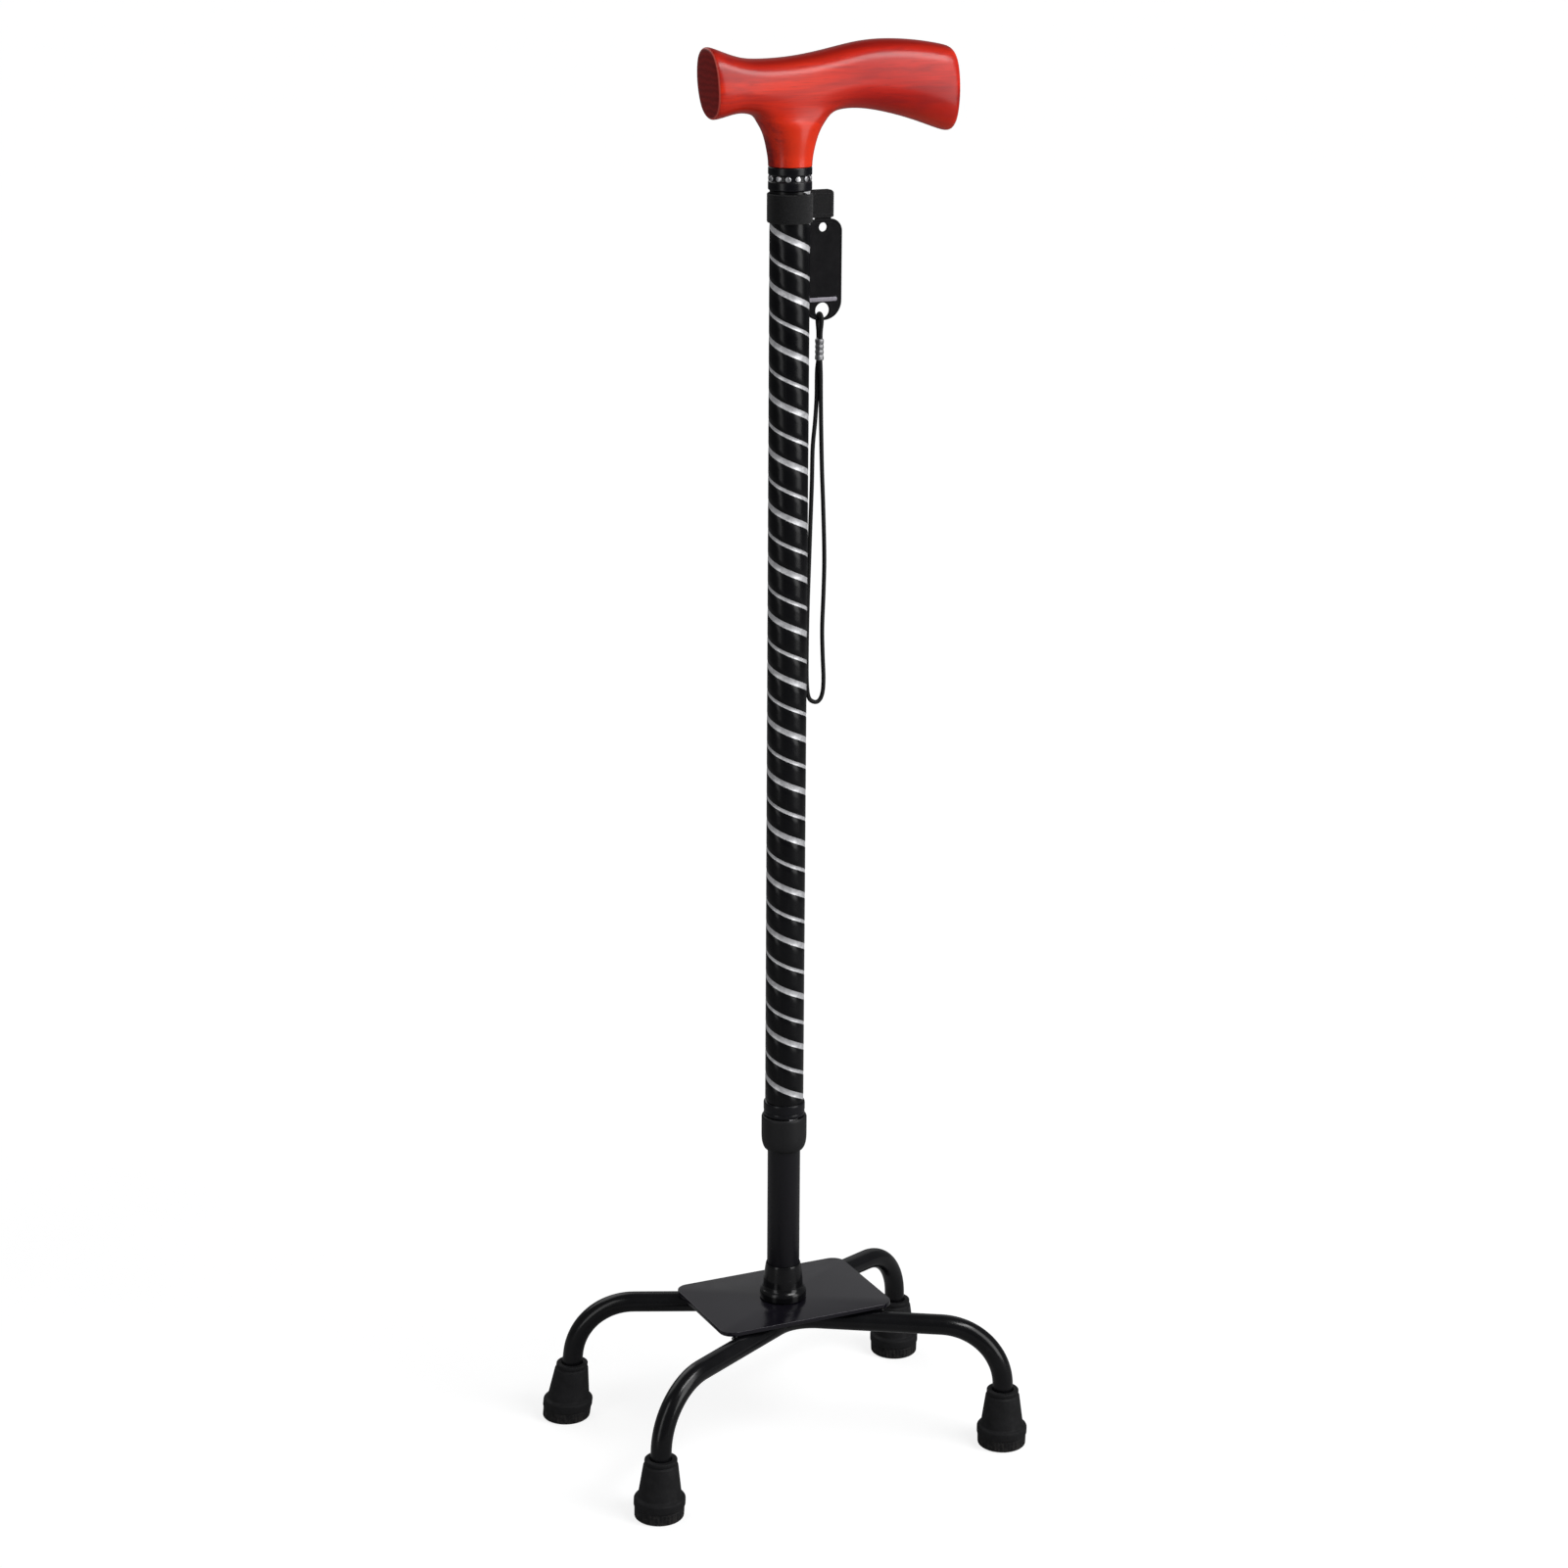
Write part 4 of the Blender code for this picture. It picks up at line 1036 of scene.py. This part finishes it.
def build_band():
    knots = [Vector((x, y, 0)) for x, y in band_line()]
    path = smooth_curve(knots + [knots[0]], 0.45 * MM)[:-1]
    count = len(path)
    half_t = 0.52 * MM
    rib_height, rib_pitch = 0.07 * MM, 1.25 * MM
    edge_round = 0.6 * MM
    corner, corner_start = 3 * MM, TAB_END_X - 3.4 * MM
    tab_start_x, tab_trim = 14 * MM, 0.3 * MM
    rows = 48
    rings = []
    for i, point in enumerate(path):
        tangent = (path[(i + 1) % count] - path[i - 1]).normalized()
        out = Vector((-tangent.y, tangent.x, 0))
        beyond = max(0, point.x - corner_start)
        drop = corner - sqrt(max(0, corner ** 2 - min(beyond, 2.9 * MM) ** 2))
        low, high = BAND_BOTTOM, BAND_TOP - 0.8 * drop
        if point.x > tab_start_x:
            low, high = low + tab_trim, high - tab_trim
        ring = []
        for side in (1, -1):
            for k in range(rows + 1):
                share = k / rows if side > 0 else 1 - k / rows
                height = low + share * (high - low)
                edge = min(share, 1 - share) * (high - low)
                full = min(1, edge / edge_round) ** 0.5
                rib = rib_height * cos(tau * height / rib_pitch)
                ring.append(point + out * side * (half_t * full + rib * full) + Vector((0, 0, height)))
        rings.append(ring)
    mesh = skin(rings, closed=True, sharp=60)
    bm = bmesh.new()
    bm.from_mesh(mesh)
    bmesh.ops.remove_doubles(bm, verts=bm.verts, dist=1e-6)
    piece_of("elastic_band", mesh_of(bm, 60), "upper_shaft", "webbing", "strap_band")
    build_stitches()


def build_stitches():
    """A sewn box through both layers of the tab."""
    pitch, face_y = 2.1 * MM, 1.9 * MM
    size = Matrix.Diagonal((0.2 * MM, 0.2 * MM, 0.8 * MM, 1))
    bm = bmesh.new()
    left, right = 15.6 * MM, TAB_END_X - 2.6 * MM
    low, high = BAND_BOTTOM + 2.1 * MM, BAND_TOP - 2.4 * MM
    corners = [(left, low), (right, low), (right, high), (left, high)]
    for (ax, az), (bx, bz) in zip(corners, corners[1:] + corners[:1]):
        a, b = Vector((ax, 0, az)), Vector((bx, 0, bz))
        count = round((b - a).length / pitch)
        spin = Vector((0, 0, 1)).rotation_difference((b - a).normalized()).to_matrix().to_4x4()
        for k in range(count):
            middle = a.lerp(b, (k + 0.5) / count)
            for face in (-1, 1):
                place = Matrix.Translation(middle + Vector((0, TAB_Y + face * face_y, 0)))
                bmesh.ops.create_uvsphere(bm, u_segments=10, v_segments=8, radius=1,
                                          matrix=place @ spin @ size)
    piece_of("band_stitching", mesh_of(bm), "upper_shaft", "stitch")


def build_tag():
    """A leather tag with rolled edges, a tooled line, two holes and a tongue up into the tab."""
    middle = (TAG_BOTTOM + TAG_TOP) / 2
    height = TAG_TOP - TAG_BOTTOM
    # distance from the edge and half thickness, from inside the tooled line to the edge
    levels = [(2.4, 0.8), (2, 0.8), (1.75, 0.7), (1.5, 0.7), (1.25, 0.8), (0.7, 0.8), (0.35, 0.72),
              (0.12, 0.52), (0, 0.2)]
    section = [(inset * MM, -depth * MM) for inset, depth in levels]
    section += [(inset, -depth) for inset, depth in section[::-1]]
    rings = []
    for inset, depth in section:
        corner, end = 7 * MM - inset, 10.5 * MM - inset
        outline = rounded_rectangle(TAG_W - 2 * inset, height - 2 * inset, [corner, corner, end, end], 14,
                                    (TAG_X, middle))
        rings.append([(x, TAB_Y + depth, z) for x, z in outline])
    tag = piece_of("leather_tag", skin(rings), "upper_shaft", "leather", "strap_tag")
    for z, radius in ((666.7, 4.3), (712.4, 2.5)):
        loops = []
        for extra, y in ((0.35, -1.2), (0.35, -0.85), (0, -0.5), (0, 0.5), (0.35, 0.85), (0.35, 1.2)):
            ring = circle((radius + extra) * MM, 64)
            loops.append([(TAG_X + u, TAB_Y + y * MM, z * MM + v) for u, v in ring])
        carve(tag, skin(loops))
    tongue = rounded_rectangle(9.4 * MM, 8 * MM, [0.6 * MM] * 4, 4, (TAG_X, TAG_TOP + 3.4 * MM))
    rings = [[(x, TAB_Y + y, z) for x, z in tongue] for y in (-TAG_HALF_T * 0.9, TAG_HALF_T * 0.9)]
    piece_of("tag_tongue", skin(rings), "upper_shaft", "leather")


def build_foil_bars():
    """A thin bar of grey foil on each face of the tag."""
    length, width, corner, bar_z = 17.6, 2.3, 1, 672.7 * MM
    for name, side in ENDS:
        rings = []
        for inset, lift in ((0, -0.1), (0, 0.04), (0.12, 0.09), (0.5, 0.11)):
            outline = rounded_rectangle((length - 2 * inset) * MM, (width - 2 * inset) * MM,
                                        [(corner - inset) * MM] * 4, 6, (TAG_X, bar_z))
            rings.append([(x, TAB_Y + side * (TAG_HALF_T + lift * MM), z) for x, z in outline])
        piece_of("tag_foil_bar_" + name, skin(rings), "upper_shaft", "foil")


# Parts of the model that keep their shape and take a finished surface

def finish_kept_parts():
    washers = ["foot_washer_" + side + "_" + end for side, _ in SIDES for end, _ in ENDS]
    kept = {
        "steel": washers + ["bolt_washer", "button_spring", "stud_nut", "handle_stud"],
        "aluminium": ["lower_plug"],
        "nylon": ["guide_bush", "grip_ring"],
    }
    for key, names in kept.items():
        for name in names:
            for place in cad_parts[name].material_slots:
                place.material = MATERIALS[key]


build_camera()
MATERIALS = build_materials()
build_cords()
build_stage()
build_feet()
build_legs()
build_plate()
build_welds()
build_socket()
build_bolt()
build_lower_tube()
build_button()
build_upper_tube()
build_collar()
build_ferrule()
build_handle()
build_band()
build_tag()
build_foil_bars()
finish_kept_parts()
